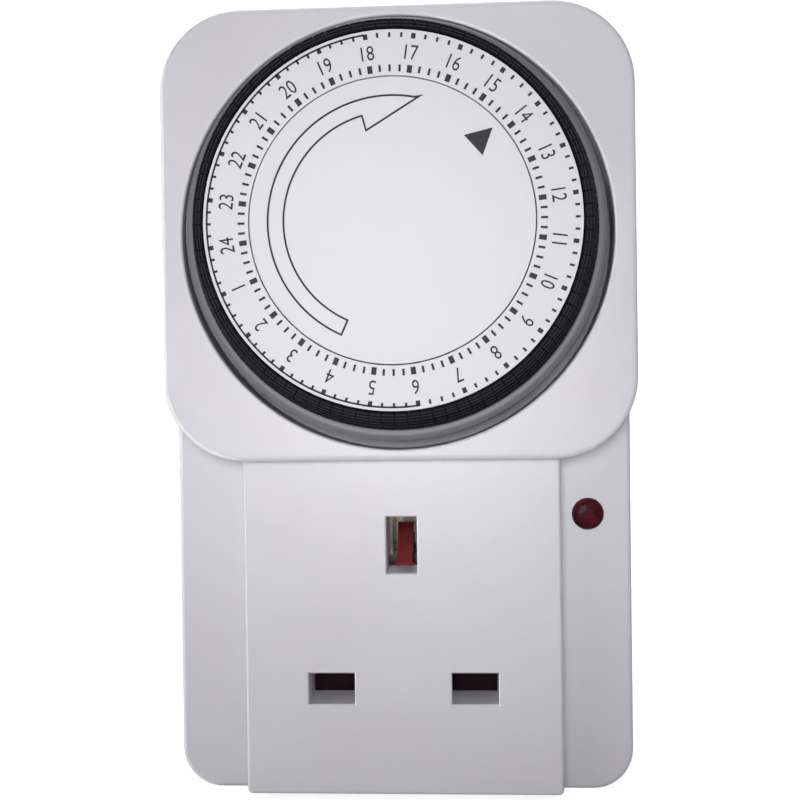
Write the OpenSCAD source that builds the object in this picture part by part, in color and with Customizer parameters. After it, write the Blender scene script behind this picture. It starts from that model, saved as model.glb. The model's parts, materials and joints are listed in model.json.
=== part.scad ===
// Plug-through 24-hour segment timer.
// X runs to the right, Z runs up and Y runs back to the wall. The origin lies on the back face,
// midway between the line and neutral pins. A depth is measured forwards from the back face.

/* [Housing] */
// Width of the housing
body_w = 72; // [72:0.4:88]
// Height of the block around the dial
dial_block_h = 68.8; // [68:0.4:84]
// Height of the line and neutral pins above the lower edge
lower_edge_drop = 17.4; // [17:0.2:24]
// Height of the dial block's lower edge above the line and neutral pins
dial_block_rise = 35.4; // [35:0.2:43]
// Depth of the lower front plate
plate_depth = 31.5; // [31.5:0.5:38]
// Height of the outlet block's face above the lower front plate
outlet_step = 5.5; // [5:0.5:7]
// Height of the dial block's face above the lower front plate
dial_step = 8.5; // [8:0.5:12]
// Depth of the joint between the rear shell and the front cover
split_depth = 16; // [13:0.5:17]
// Wall thickness of the housing
wall = 2.2; // [1.8:0.1:2.6]
// Corner radius of the dial block
dial_block_r = 12.5; // [10:0.5:14]
// Corner radius at the bottom of the housing
lower_r = 6.4; // [5:0.2:8]
// Width of the outlet block
outlet_w = 49; // [47:0.5:54]

/* [Dial] */
// Radius of the printed dial face
dial_r = 26.7; // [22:0.1:26.8]
// Width of the dial face's ring around the fixed centre disc
ring_w = 6.6; // [6.2:0.1:8]
// Height of the dial face above the dial block
dial_rise = 11.5; // [11:0.5:14]
// Number of push-down segments, four for each hour
segments = 96; // [96]
// Travel of a segment when it is pushed down
segment_travel = 2.5; // [2:0.1:2.5]
// Direction of the time pointer, where the segments work the switch
pointer_angle = 41.5; // [40:0.5:43]

/* [Plug and outlet] */
// Distance between the line and neutral pins, and from their line up to the earth pin
pin_pitch = 22.2; // [22.2]
// Length of the line and neutral pins outside the back face
live_pin_l = 17.7; // [17.7]
// Length of the earth pin outside the back face
earth_pin_l = 22.7; // [22.7]
// Width of the line and neutral slots
live_slot_w = 7.2; // [7:0.1:7.4]
// Height of the earth slot
earth_slot_h = 8.8; // [8.4:0.1:9]
// Short side of all three slots
slot_t = 4.8; // [4.6:0.1:5]
// Length of the tunnels behind the slots, from the outlet block's face to the shutter
tunnel_l = 9.8; // [9:0.2:10.4]
// Travel of the safety shutter
shutter_travel = 6; // [5.6:0.1:6.2]

/* [Gears] */
// Teeth on the dial gear
dial_teeth = 60; // [48:6:60]
// Teeth on each compound gear's wheel
wheel_teeth = 30; // [28:1:31]
// Teeth on each pinion
pinion_teeth = 10; // [10]

/* [Hidden] */
$fn = 96;
EPS = 0.05;
GAP = 0.3;
FIT = 0.06;

// Outline
half_w = body_w / 2;
z_low = -lower_edge_drop;
z_block = dial_block_rise;
z_high = dial_block_rise + dial_block_h;
dial_z = dial_block_rise + dial_block_h / 2;
outlet_depth = plate_depth + outlet_step;
block_depth = plate_depth + dial_step;
dial_depth = block_depth + dial_rise;
outlet_half = outlet_w / 2;
z_outlet = z_low + 1;

// Slots, pins and contacts
live_x = pin_pitch / 2;
tunnel_depth = outlet_depth - tunnel_l;
tunnel_wall = 1.8;
shutter_front = tunnel_depth - GAP;
shutter_back = shutter_front - 1.9;
jaw_top = shutter_back - 1;
head_depth = 9;
seat_depth = 10.5;
line_seat_depth = 16;

// Dial drum, in radii and depths
disc_r = dial_r - ring_w;
neck_r = dial_r - 2.7;
skirt_r = dial_r + 4.5;
well_r = dial_r + 6;
well_floor = block_depth - 5.8;
floor_back = well_floor - 1.2;
flange_back = dial_depth - 13.8;
flange_front = flange_back + 1.5;
skirt_front = dial_depth - 7.3;
segment_foot_r = dial_r + 1.7;
segment_pitch = 360 / segments;

// Gear train, from the dial gear back to the motor
tooth_room = 0.6;
dial_gear_r = dial_r - 5.7;
dial_module = 2 * dial_gear_r / dial_teeth;
train_module = 0.6;
wheel_tip_r = gear_tip_r(wheel_teeth, train_module);
dial_gear_front = floor_back - 0.5;
dial_gear_back = dial_gear_front - 3;
wheel2_front = dial_gear_back - tooth_room;
wheel2_back = wheel2_front - 2.4;
wheel1_front = wheel2_back - tooth_room;
wheel1_back = wheel1_front - 2.4;
chassis_front = wheel1_back - 1.5;
chassis_back = chassis_front - 1.5;
motor_back = chassis_back - 11.5;
axle_r = 0.8;
second_angle = 250;
first_angle = 200;
output_angle = 60;
second_reach = dial_module * (dial_teeth + pinion_teeth) / 2;
train_reach = train_module * (wheel_teeth + pinion_teeth) / 2;
dial_centre = [0, dial_z];
second_centre = dial_centre + second_reach * [cos(second_angle), sin(second_angle)];
first_centre = second_centre + train_reach * [cos(first_angle), sin(first_angle)];
output_centre = first_centre + train_reach * [cos(output_angle), sin(output_angle)];
motor_centre = output_centre + 15.5 * [cos(56), sin(56)];
motor_r = 18;
post_angles = [135, 188, 315];
post_reach = dial_r + 2.3;

// Tooth phases that keep each pair in mesh at rest
second_pinion_turn = mesh_turn(second_angle, 0, dial_teeth, pinion_teeth);
first_pinion_turn = mesh_turn(first_angle, 0, wheel_teeth, pinion_teeth);
output_turn = mesh_turn(output_angle, 0, wheel_teeth, pinion_teeth);

// Switch and its follower lever
nose_x = segment_foot_r * cos(pointer_angle);
nose_z = dial_z + segment_foot_r * sin(pointer_angle);
pivot_x = nose_x + 7.9;
pivot_depth = chassis_front + 9;
switch_front = chassis_front + 6.6;
button_x = nose_x + 3.2;
nose_front = flange_back + 0.5 - segment_travel - GAP;

// Override slider in the right-hand wall
slider_z = nose_z - 13;
slider_depth = split_depth + 4;
slider_travel = 5;

// Screw places, as [x, z]; the lower posts end at the plate and the upper ones at the dial block's face
low_screws = [for (side = [-1, 1]) [side * (half_w - 7), z_low + 6.4]];
high_screws = [for (side = [-1, 1]) [side * (half_w - 9.5), z_high - 7.4]];
screw_places = concat(low_screws, high_screws);
screw_r = 1.4;

// Neon indicator
neon_x = half_w - 6.8;
neon_z = 26.2;
neon_r = 2.6;

housing_white = [0.9, 0.9, 0.92];
segment_black = [0.06, 0.06, 0.07];
skirt_grey = [0.6, 0.6, 0.6];
brass = [0.78, 0.6, 0.3];
steel = [0.7, 0.71, 0.73];
copper = [0.72, 0.42, 0.25];

function tripper_name(hour) = str("tripper_", hour < 10 ? "0" : "", hour);

// Turn of a follower with nb teeth that meshes, in the direction angle, with na teeth turned by turn_a
function mesh_turn(angle, turn_a, na, nb) =
    angle + 180 - (turn_a - angle) * na / nb - 180 / nb;

function gear_tip_r(teeth, tooth_module) = tooth_module * (teeth / 2 + 0.85);

// Mid-angle of an hour's four segments on the dial
function hour_angle(hour) = 97.5 + 15 * (hour - 18) + 7.5;

// A flat outline in X and Z, drawn out between two depths
module slab(back, front) {
    translate([0, -back, 0])
        rotate([90, 0, 0])
            linear_extrude(front - back) children();
}

// A round bar along Y between two depths
module bar(place, back, front, r, n = 96) {
    translate([place[0], -back, place[1]])
        rotate([90, 0, 0])
            cylinder(h = front - back, r = r, $fn = n);
}

// A box between two depths
module block(x0, x1, z0, z1, back, front) {
    translate([x0, -front, z0])
        cube([x1 - x0, front - back, z1 - z0]);
}

// Rectangle with its lower corners rounded by r_low and its upper ones by r_top
module rounded(x0, x1, z0, z1, r_low, r_top) {
    translate([x0, z0 + r_low]) square([x1 - x0, z1 - z0 - r_low - r_top]);
    translate([x0 + r_low, z0]) square([x1 - x0 - 2 * r_low, r_low + EPS]);
    translate([x0 + r_top, z1 - r_top - EPS]) square([x1 - x0 - 2 * r_top, r_top + EPS]);
    for (x = [x0 + r_low, x1 - r_low])
        translate([x, z0 + r_low]) circle(r_low);
    for (x = [x0 + r_top, x1 - r_top])
        translate([x, z1 - r_top]) circle(r_top);
}

module body_outline(inset = 0) {
    rounded(-half_w + inset, half_w - inset, z_low + inset, z_high - inset,
            lower_r - inset, dial_block_r - inset);
}

module dial_block_outline(inset = 0) {
    rounded(-half_w + inset, half_w - inset, z_block + inset, z_high - inset,
            dial_block_r - inset, dial_block_r - inset);
}

module outlet_outline(inset = 0) {
    rounded(-outlet_half + inset, outlet_half - inset, z_outlet + inset, z_block + 8, 0.8, 0.8);
}

module rectangle(w, h) {
    square([w, h], center = true);
}

// Outline of the three slots, or of the walls around them
module slot_outlines(margin = 0) {
    for (x = [-live_x, live_x])
        translate([x, 0]) rectangle(live_slot_w + 2 * margin, slot_t + 2 * margin);
    translate([0, pin_pitch]) rectangle(slot_t + 2 * margin, earth_slot_h + 2 * margin);
}

// Spur gear outline with a tooth centred on the X axis
module gear_outline(teeth, tooth_module) {
    pitch_r = teeth * tooth_module / 2;
    root_r = pitch_r - 1.15 * tooth_module;
    tip_r = gear_tip_r(teeth, tooth_module);
    step = 360 / teeth;
    polygon([for (tooth = [0:teeth - 1])
        for (corner = [[root_r, -0.27], [tip_r, -0.1], [tip_r, 0.1], [root_r, 0.27]])
            corner[0] * [cos(step * (tooth + corner[1])), sin(step * (tooth + corner[1]))]]);
}

// Gear at a place, between two depths, turned to its phase
module gear(place, back, front, teeth, tooth_module, turn) {
    translate([place[0], 0, place[1]])
        rotate([0, -turn, 0])
            slab(back, front) gear_outline(teeth, tooth_module);
}

// Round wire through a list of points, given as [x, z, depth]
module wire(points, r) {
    for (i = [0:len(points) - 2]) {
        a = [points[i][0], -points[i][2], points[i][1]];
        b = [points[i + 1][0], -points[i + 1][2], points[i + 1][1]];
        run = b - a;
        flat = norm([run[0], run[1]]);
        translate(a)
            rotate([0, atan2(flat, run[2]), atan2(run[1], run[0])])
                cylinder(h = norm(run), r = r, $fn = 24);
        if (i > 0)
            translate(a) sphere(r * 1.2, $fn = 24);
    }
}

// ---- Housing ----

// Wall around one plug pin, which holds the pin's head and the contact above it
module pin_seat(x, z, w, h, top) {
    block(x - w / 2, x + w / 2, z - h / 2, z + h / 2, wall - EPS, top);
}

module rear_shell() {
    seat_w = 13.4;
    color(housing_white) difference() {
        union() {
            difference() {
                slab(0, split_depth) body_outline();
                slab(wall, split_depth + 1) body_outline(wall);
            }
            pin_seat(-live_x, 0, seat_w, 10, seat_depth);
            pin_seat(live_x, 0, seat_w, 10, line_seat_depth);
            pin_seat(0, pin_pitch, 10, 13, seat_depth);
            for (place = screw_places)
                bar(place, wall - EPS, split_depth, 3.2);
        }
        // Pin holes and the pockets for their heads
        for (x = [-live_x, live_x]) {
            translate([x, 0, 0]) slab(-1, line_seat_depth + 1) rectangle(6.4, 4);
            translate([x, 0, 0]) slab(head_depth, line_seat_depth + 1) rectangle(9.4, 7);
        }
        translate([0, 0, pin_pitch]) {
            slab(-1, seat_depth + 1) rectangle(4, 8);
            slab(head_depth, seat_depth + 1) rectangle(7, 10);
        }
        // Way out of the line seat for the pin's tab
        block(live_x, live_x + 9, -1.8, 1.8, head_depth, line_seat_depth - 3);
        for (place = screw_places) {
            bar(place, -1, split_depth + 1, screw_r + 0.2, 32);
            bar(place, -1, 2.4, 2.9, 32);
        }
    }
}

module front_cover() {
    window_half = 2.7;
    color(housing_white) difference() {
        union() {
            difference() {
                union() {
                    slab(split_depth, plate_depth) body_outline();
                    slab(plate_depth - EPS, block_depth) dial_block_outline();
                    slab(plate_depth - EPS, outlet_depth) outlet_outline();
                }
                slab(split_depth - 1, plate_depth - wall) body_outline(wall);
                slab(plate_depth - wall - EPS, block_depth - wall) difference() {
                    dial_block_outline(wall);
                    translate(dial_centre) circle(well_r + 1.8);
                }
                slab(plate_depth - wall - EPS, floor_back)
                    translate(dial_centre) circle(well_r + 0.2);
                slab(plate_depth - wall - EPS, outlet_depth - wall)
                    rounded(-outlet_half + wall, outlet_half - wall, z_outlet + wall, z_block - wall,
                            0.6, 0.6);
            }
            slab(tunnel_depth, outlet_depth - EPS) slot_outlines(tunnel_wall);
            for (place = low_screws)
                bar(place, split_depth, plate_depth - EPS, 3.2);
            for (place = high_screws)
                bar(place, split_depth, block_depth - EPS, 3.2);
            // Posts for the chassis plate
            for (angle = post_angles)
                bar(dial_centre + post_reach * [cos(angle), sin(angle)], chassis_front, floor_back + EPS, 2.6);
            // Guide ribs with lips that hold the shutter
            for (side = [-1, 1]) {
                block(side * 17.1 - 1.2, side * 17.1 + 1.2, -3, 3, shutter_back - 1.4, outlet_depth - EPS);
                block(side * 16.3 - 1.6, side * 16.3 + 1.6, -3, 3, shutter_back - 1.4, shutter_back - GAP);
            }
            // Shelf under the shutter's spring
            block(-4, 4, z_low + wall - EPS, z_outlet + wall + 1.2, shutter_back - 1, plate_depth - EPS);
        }
        slab(tunnel_depth - 1, outlet_depth + 1) slot_outlines();
        // Dial well, its floor opening and the lever's window
        bar(dial_centre, well_floor, block_depth + 1, well_r, 180);
        bar(dial_centre, floor_back - 1, well_floor + 1, neck_r + 0.5, 180);
        block(nose_x - window_half, nose_x + window_half, nose_z - window_half, nose_z + window_half,
              floor_back - 1, well_floor + 1);
        bar([neon_x, neon_z], plate_depth - wall - 1, plate_depth + 1, neon_r + FIT, 48);
        // Room for the compound gears, where they stand further forward than the plate's inner face
        bar(second_centre, wheel2_back - GAP, wheel2_front + GAP, wheel_tip_r + GAP);
        bar(first_centre, wheel1_back - GAP, wheel1_front + GAP, wheel_tip_r + GAP);
        bar(first_centre, wheel1_back - GAP, wheel2_front + GAP, 4.2);
        // Room for the lever and its pivot under the well floor
        block(nose_x - 3.4, pivot_x + 2.6, nose_z - 4.6, nose_z + 4.6, plate_depth - wall - 1, floor_back);
        // Slot for the override slider's neck
        block(half_w - wall - 1, half_w + 1, slider_z - 2.8, slider_z + slider_travel + 2.8,
              slider_depth - 1.8, slider_depth + 1.8);
        for (place = screw_places)
            bar(place, split_depth - 1, split_depth + 11, screw_r, 32);
        for (angle = post_angles)
            bar(dial_centre + post_reach * [cos(angle), sin(angle)], chassis_front - 1, chassis_front + 7, 1, 32);
    }
}

module screw(place, head_back, length, head_r, shank_r, head_h) {
    difference() {
        union() {
            bar(place, head_back, head_back + head_h, head_r, 32);
            bar(place, head_back + head_h - EPS, head_back + length, shank_r, 32);
        }
        translate([place[0], 0, place[1]])
            slab(head_back - 1, head_back + head_h * 0.5) {
                rectangle(head_r * 1.2, 0.5);
                rectangle(0.5, head_r * 1.2);
            }
    }
}

module housing_screws() {
    color(steel)
        for (place = screw_places)
            screw(place, 0.6, split_depth + 9, 2.6, screw_r - FIT, 1.8);
}

// ---- Plug pins ----

// Pin through the back wall, with a flat head inside; the outer stretch is slimmer under a sleeve
module plug_pin(z, w, h, length, head_w, head_h, sleeve_l) {
    translate([0, 0, z]) {
        difference() {
            slab(-length, head_depth + EPS) rectangle(w, h);
            slab(-length - 1, -length + 1.6)
                for (turn = [0, 180])
                    rotate(turn) translate([0, h / 2]) rotate(45) rectangle(0.9, 0.9);
            if (sleeve_l > 0)
                slab(-sleeve_l, head_depth - 4) difference() {
                    rectangle(w + 1, h + 1);
                    rectangle(w - 1.6, h - 1.6);
                }
        }
        slab(head_depth, seat_depth) rectangle(head_w, head_h);
    }
}

module sleeve() {
    slab(-9.4, head_depth - 4.1) difference() {
        rectangle(6.3, 3.9);
        rectangle(4.8, 2.4);
    }
}

module earth_pin() {
    color(brass) plug_pin(pin_pitch, 3.9, 7.9, earth_pin_l, 6.4, 9.4, 0);
}

module line_pin() {
    color(brass) translate([live_x, 0, 0]) {
        plug_pin(0, 6.3, 3.9, live_pin_l, 8.8, 6.4, 9.5);
        block(4, 8.6, -1.4, 1.4, head_depth, seat_depth);
    }
}

module neutral_pin() {
    color(brass) translate([-live_x, 0, 0]) plug_pin(0, 6.3, 3.9, live_pin_l, 8.8, 6.4, 9.5);
}

module line_sleeve() {
    color([0.1, 0.1, 0.1]) translate([live_x, 0, 0]) sleeve();
}

module neutral_sleeve() {
    color([0.1, 0.1, 0.1]) translate([-live_x, 0, 0]) sleeve();
}

// ---- Outlet ----

// Two sprung jaws on a base strip; the jaws face each other across Z
module jaws(seat, w, space, base_h) {
    leaf = 0.6;
    slab(seat, seat + 0.8) rectangle(w + 2, base_h);
    for (side = [-1, 1]) {
        offset_z = side * (space / 2 + leaf / 2);
        translate([0, 0, offset_z]) slab(seat + 0.4, jaw_top) rectangle(w, leaf);
        translate([0, 0, offset_z + side * 0.5]) slab(jaw_top - 1, jaw_top) rectangle(w, leaf + 0.4);
    }
}

module earth_contact() {
    color(brass) translate([0, 0, pin_pitch]) rotate([0, 90, 0]) jaws(seat_depth, 7, 4.3, 6.4);
}

module neutral_contact() {
    color(brass) translate([-live_x, 0, 0]) jaws(seat_depth, 6, 4.2, 6.4);
}

module line_contact() {
    color(brass) translate([live_x, 0, 0]) {
        jaws(line_seat_depth, 6, 4.2, 8.6);
        slab(line_seat_depth, line_seat_depth + 0.8) rectangle(12, 8.6);
        block(5.5, 9.6, 2, 4.3, line_seat_depth, line_seat_depth + 0.8);
    }
}

module shutter() {
    bar_half = 3.4;
    slot_low = pin_pitch - earth_slot_h / 2;
    ramp_high = slot_low + shutter_travel;
    color([0.5, 0.05, 0.06]) {
        block(-15.2, 15.2, -bar_half, bar_half, shutter_back, shutter_front);
        block(-1.6, 1.6, bar_half - EPS, slot_low, shutter_back, shutter_front);
        block(-0.5, 0.5, -bar_half - 1.4, -bar_half + EPS, shutter_back, shutter_back + 0.8);
        // Ramp that the earth pin pushes down: its slope faces up and forwards
        translate([-1.3, -shutter_front, 0])
            rotate([90, 0, 90])
                linear_extrude(2.6)
                    polygon([[0, slot_low - 1], [shutter_travel, slot_low - 1],
                             [shutter_travel, ramp_high], [0, slot_low]]);
    }
}

// Coil under the shutter, on an upright axis
module shutter_spring() {
    low = z_outlet + wall + 1.2;
    high = -3.4;
    turns = 6;
    coil_r = 1.3;
    wire_r = 0.2;
    depth = shutter_back + 0.4;
    color(steel) translate([0, -depth, 0]) {
        translate([0, 0, low + wire_r])
            linear_extrude(height = high - low - 2 * wire_r, twist = -360 * turns, slices = 24 * turns, $fn = 8)
                translate([coil_r, 0]) circle(wire_r * 1.3);
        for (z = [low + wire_r, high - wire_r])
            translate([0, 0, z]) rotate_extrude() translate([coil_r, 0]) circle(wire_r, $fn = 24);
    }
}

// ---- Dial ----

// Drum with its hub, gear, neck, slotted flange, skirt and the wall inside the segments
module dial_drum() {
    hub_r = 7;
    bore_r = 4 + FIT;
    wall_r = dial_r - 0.1;
    shelf = dial_depth - 0.8;
    slot_half = 0.3 * segment_pitch;
    color(skirt_grey) translate([0, 0, dial_z]) difference() {
        union() {
            slab(dial_gear_back, dial_gear_front) difference() {
                gear_outline(dial_teeth, dial_module);
                circle(bore_r);
            }
            rotate([90, 0, 0]) rotate_extrude($fn = 192) polygon([
                [bore_r, dial_gear_front - EPS], [neck_r, dial_gear_front - EPS],
                [neck_r, flange_back], [skirt_r, flange_back],
                [skirt_r - 0.5, skirt_front], [skirt_r - 1, skirt_front],
                [skirt_r - 1, flange_front], [wall_r, flange_front],
                [wall_r, shelf], [disc_r + 0.3, shelf], [disc_r + 0.3, shelf - 1.2],
                [wall_r - 2, shelf - 1.2], [wall_r - 2, flange_front],
                [neck_r - 2, flange_front], [neck_r - 2, dial_gear_front + 1.4],
                [hub_r, dial_gear_front + 1.4], [hub_r, dial_depth - 2.8],
                [bore_r, dial_depth - 2.8]]);
        }
        // One slot in the flange for each segment's foot
        rotate([90, 0, 0])
            translate([0, 0, flange_back - 0.5])
                linear_extrude(flange_front - flange_back + 1)
                    for (i = [0:segments - 1])
                        rotate((i + 0.5) * segment_pitch)
                            translate([segment_foot_r, 0]) square([1.9, 1.3], center = true);
    }
}

module dial_face() {
    color([0.93, 0.93, 0.92])
        translate([0, 0, dial_z])
            slab(dial_depth - 0.8, dial_depth) difference() {
                circle(dial_r, $fn = 192);
                circle(disc_r + 0.3, $fn = 192);
            }
}

module centre_disc() {
    color([0.93, 0.93, 0.92]) {
        bar(dial_centre, dial_depth - 1.4, dial_depth, disc_r, 192);
        bar(dial_centre, dial_depth - 2.5, dial_depth - 1.4 + EPS, 6.4);
        bar(dial_centre, dial_depth - 9, dial_depth - 2.5 + EPS, 2 - FIT / 2);
    }
}

module dial_spindle() {
    color(housing_white) difference() {
        union() {
            bar(dial_centre, chassis_back, chassis_front + EPS, 5);
            bar(dial_centre, chassis_front, dial_gear_back - 0.9, 7);
            bar(dial_centre, chassis_front, dial_depth - 2.5, 4);
        }
        bar(dial_centre, dial_depth - 12, dial_depth + 1, 2, 48);
    }
}

module clutch_washer() {
    color(steel) translate([0, 0, dial_z])
        slab(dial_gear_back - 0.9, dial_gear_back - 0.2) difference() {
            circle(6.8);
            circle(4.4);
        }
}

// Profile of a segment's head, with ridged steps down its outer face, as [radius, depth]
function head_profile() =
    let (steps = 4, drop = 7 / steps, first_r = dial_r + 1.5, last_r = dial_r + 3.2)
    concat(
        [[dial_r + 0.2, dial_depth - 7], [dial_r + 0.2, dial_depth]],
        [for (i = [0:steps - 1]) let (r = first_r + (last_r - first_r) * i / (steps - 1))
            for (low = [0, 1]) [r, dial_depth - drop * (i + low)]]);

// One hour's four segments, each a ridged head with a foot that passes the drum's flange
module tripper(hour) {
    foot_end = flange_back + 0.5;
    color(segment_black) translate([0, 0, dial_z]) rotate([90, 0, 0])
        for (i = [-1.5:1:1.5])
            rotate(hour_angle(hour) + i * segment_pitch) {
                rotate(-0.41 * segment_pitch)
                    rotate_extrude(angle = 0.82 * segment_pitch, $fn = 192) polygon(head_profile());
                translate([segment_foot_r - 0.7, -0.5, foot_end])
                    cube([1.4, 1, dial_depth - 7 + EPS - foot_end]);
            }
}

// ---- Mechanism ----

module chassis_plate() {
    color([0.85, 0.84, 0.8]) difference() {
        union() {
            slab(chassis_back, chassis_front)
                rounded(-half_w + 5, half_w - 5, z_block + 2.6, z_high - 12, 6, 8);
            bar(second_centre, chassis_front - EPS, wheel2_back - GAP, 2.2, 48);
            bar(first_centre, chassis_front - EPS, wheel1_back - GAP, 2.2, 48);
        }
        bar(dial_centre, chassis_back - 1, chassis_front + 1, 5);
        bar(output_centre, chassis_back - 1, chassis_front + 1, 2, 48);
        for (place = [second_centre, first_centre])
            bar(place, chassis_back - 1, wheel2_front, axle_r, 32);
        for (angle = post_angles)
            bar(dial_centre + post_reach * [cos(angle), sin(angle)], chassis_back - 1, chassis_front + 1, 1.2, 32);
    }
}

module chassis_screws() {
    color(steel)
        for (angle = post_angles)
            screw(dial_centre + post_reach * [cos(angle), sin(angle)], chassis_back - 1.4, 8.4, 2.1, 1 - FIT, 1.4);
}

module gear_axles() {
    color(steel) {
        bar(second_centre, chassis_back, dial_gear_front - 0.3, axle_r, 32);
        bar(first_centre, chassis_back, wheel2_front + 0.1, axle_r, 32);
    }
}

// Compound gear: a wheel and a pinion on one hub, bored for its axle
module compound_gear(place, wheel_back, wheel_front, pinion_front, pinion_module, pinion_turn) {
    difference() {
        union() {
            gear(place, wheel_back, wheel_front, wheel_teeth, train_module, 0);
            bar(place, wheel_back, wheel_front + tooth_room, 1.9, 48);
            gear(place, wheel_front + tooth_room - EPS, pinion_front, pinion_teeth, pinion_module, pinion_turn);
        }
        bar(place, wheel_back - 1, pinion_front + 1, axle_r + FIT, 32);
    }
}

module second_gear() {
    color([0.9, 0.88, 0.8])
        compound_gear(second_centre, wheel2_back, wheel2_front, dial_gear_front - 0.3,
                      dial_module, second_pinion_turn);
}

module first_gear() {
    color([0.9, 0.88, 0.8])
        compound_gear(first_centre, wheel1_back, wheel1_front, wheel2_front,
                      train_module, first_pinion_turn);
}

module motor_pinion() {
    color(brass) {
        gear(output_centre, wheel1_back - 0.6, wheel1_front + 0.1, pinion_teeth, train_module, output_turn);
        bar(output_centre, chassis_back - 4, wheel1_back, 1, 32);
    }
}

module motor_case() {
    color(steel) difference() {
        bar(motor_centre, motor_back, chassis_back, motor_r);
        bar(motor_centre, motor_back + 0.8, chassis_back - 0.8, motor_r - 0.8);
        bar(output_centre, chassis_back - 2, chassis_back + 1, 1 + FIT, 32);
    }
}

module motor_coil() {
    color(copper) translate([motor_centre[0], 0, motor_centre[1]])
        slab(motor_back + 0.8, motor_back + 6.8) difference() {
            circle(motor_r - 1.6);
            circle(9);
        }
}

module switch_case() {
    left = nose_x - 10;
    right = pivot_x + 2;
    ear = 1.2;
    color([0.15, 0.15, 0.16]) difference() {
        union() {
            block(left, right, nose_z - 4, nose_z + 4, chassis_front, switch_front);
            for (z = [nose_z - 4, nose_z + 4 - ear])
                block(pivot_x - 2, right, z, z + ear, switch_front - EPS, pivot_depth + 1.8);
            // Terminal tabs
            for (x = [left + 3.5, left + 9.5])
                block(x - 1.4, x + 1.4, nose_z + 4 - EPS, nose_z + 7.6, chassis_front + 2, chassis_front + 2.8);
        }
        translate([pivot_x, -pivot_depth, nose_z - 5]) cylinder(h = 10, r = 0.8 + FIT, $fn = 32);
        bar([button_x, nose_z], switch_front - 3, switch_front + 1, 1.1 + FIT, 32);
    }
}

module switch_button() {
    color([0.7, 0.1, 0.1]) bar([button_x, nose_z], switch_front - 2, pivot_depth - 1.3, 1.1, 32);
}

// Lever on two pintles, with the nose that the segments press
module follower_lever() {
    half = 2.5;
    color([0.92, 0.9, 0.84]) {
        block(nose_x - 2.6, pivot_x + 1.4, nose_z - half, nose_z + half, pivot_depth - 1, pivot_depth + 0.8);
        translate([pivot_x, -pivot_depth, nose_z - 4]) cylinder(h = 8, r = 0.8, $fn = 32);
        bar([nose_x, nose_z], pivot_depth + 0.8 - EPS, nose_front, 1.2, 32);
    }
}

// Slider with a knob outside the wall and a plate inside it
module override_slider() {
    neck_half = 2.5;
    color([0.85, 0.2, 0.12]) {
        block(half_w - wall - 2, half_w - wall - GAP, slider_z - 4.5, slider_z + 6.5,
              slider_depth - 2.6, slider_depth + 2.6);
        block(half_w - wall - GAP - EPS, half_w + GAP + EPS, slider_z - neck_half, slider_z + neck_half,
              slider_depth - 1.5, slider_depth + 1.5);
        block(half_w + GAP, half_w + 1.8, slider_z - 3.5, slider_z + 3.5, slider_depth - 2.6, slider_depth + 2.6);
    }
}

// ---- Indicator and wiring ----

module neon_lens() {
    color([0.6, 0.03, 0.05]) {
        bar([neon_x, neon_z], plate_depth - wall - 1.4, plate_depth + 0.9, neon_r, 48);
        bar([neon_x, neon_z], plate_depth - wall - 1.4, plate_depth - wall, neon_r + 0.8, 48);
    }
}

module neon_lamp() {
    r = 2;
    front = plate_depth - wall - 1.7;
    color([0.9, 0.6, 0.4, 0.6]) {
        bar([neon_x, neon_z], front - 11, front - r, r, 48);
        translate([neon_x, -(front - r), neon_z]) sphere(r, $fn = 48);
    }
}

module neon_resistor() {
    depth = plate_depth - wall - 14;
    wire_r = 0.35;
    color([0.75, 0.62, 0.42]) {
        translate([neon_x, -depth, neon_z - 14]) cylinder(h = 7, r = 1.2, $fn = 32);
        wire([[neon_x, neon_z - 7.2, depth], [neon_x, neon_z, depth], [neon_x, neon_z, depth + 1.3]], wire_r);
        wire([[neon_x, neon_z - 13.8, depth], [neon_x, neon_z - 17, depth],
              [live_x + 10.4, 5.8, line_seat_depth + 2.6]], wire_r);
    }
}

module supply_lead() {
    tab_x = nose_x - 0.5;
    tab_z = nose_z + 5.4;
    tab_depth = chassis_front + 3.8;
    side_x = half_w - 5.5;
    color([0.45, 0.25, 0.12])
        wire([[tab_x, tab_z, tab_depth], [tab_x, z_high - 5, tab_depth], [tab_x, z_high - 5, 11],
              [tab_x + 1, z_high - 14, 8], [side_x, z_high - 22, 8], [side_x, 14, 8],
              [live_x + 12, 4, seat_depth + 1], [live_x + 7, 0, seat_depth + 0.9]], 0.9);
}

module load_lead() {
    tab_x = nose_x - 6.5;
    tab_z = nose_z + 5.4;
    tab_depth = chassis_front + 3.8;
    side_x = half_w - 11.5;
    color([0.12, 0.12, 0.13])
        wire([[tab_x, tab_z, tab_depth], [tab_x, z_high - 5, tab_depth], [tab_x, z_high - 5, 14],
              [tab_x, z_high - 14, 14], [side_x, z_high - 24, 14], [side_x, 22, 14],
              [live_x + 9, 5, line_seat_depth + 2], [live_x + 7.5, 3.2, line_seat_depth + 1.7]], 0.9);
}

// ---- Assembly ----

rear_shell();
front_cover();
chassis_plate();
dial_spindle();
centre_disc();
clutch_washer();
earth_pin();
line_pin();
neutral_pin();
line_sleeve();
neutral_sleeve();
earth_contact();
line_contact();
neutral_contact();
switch_case();
motor_case();
motor_coil();
gear_axles();
neon_lens();
neon_lamp();
neon_resistor();
supply_lead();
load_lead();
housing_screws();
chassis_screws();
dial_drum();
dial_face();
shutter();
shutter_spring();
follower_lever();
switch_button();
override_slider();
motor_pinion();
first_gear();
second_gear();
for (hour = [1:24])
    tripper(hour);
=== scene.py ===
"""Plug-through 24-hour segment timer: its finished look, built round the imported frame.

X runs to the right, Z runs up and Y runs back to the wall, all in metres.
"""
import json
import math

import bmesh
import bpy
from mathutils import Euler, Matrix, Vector


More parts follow.
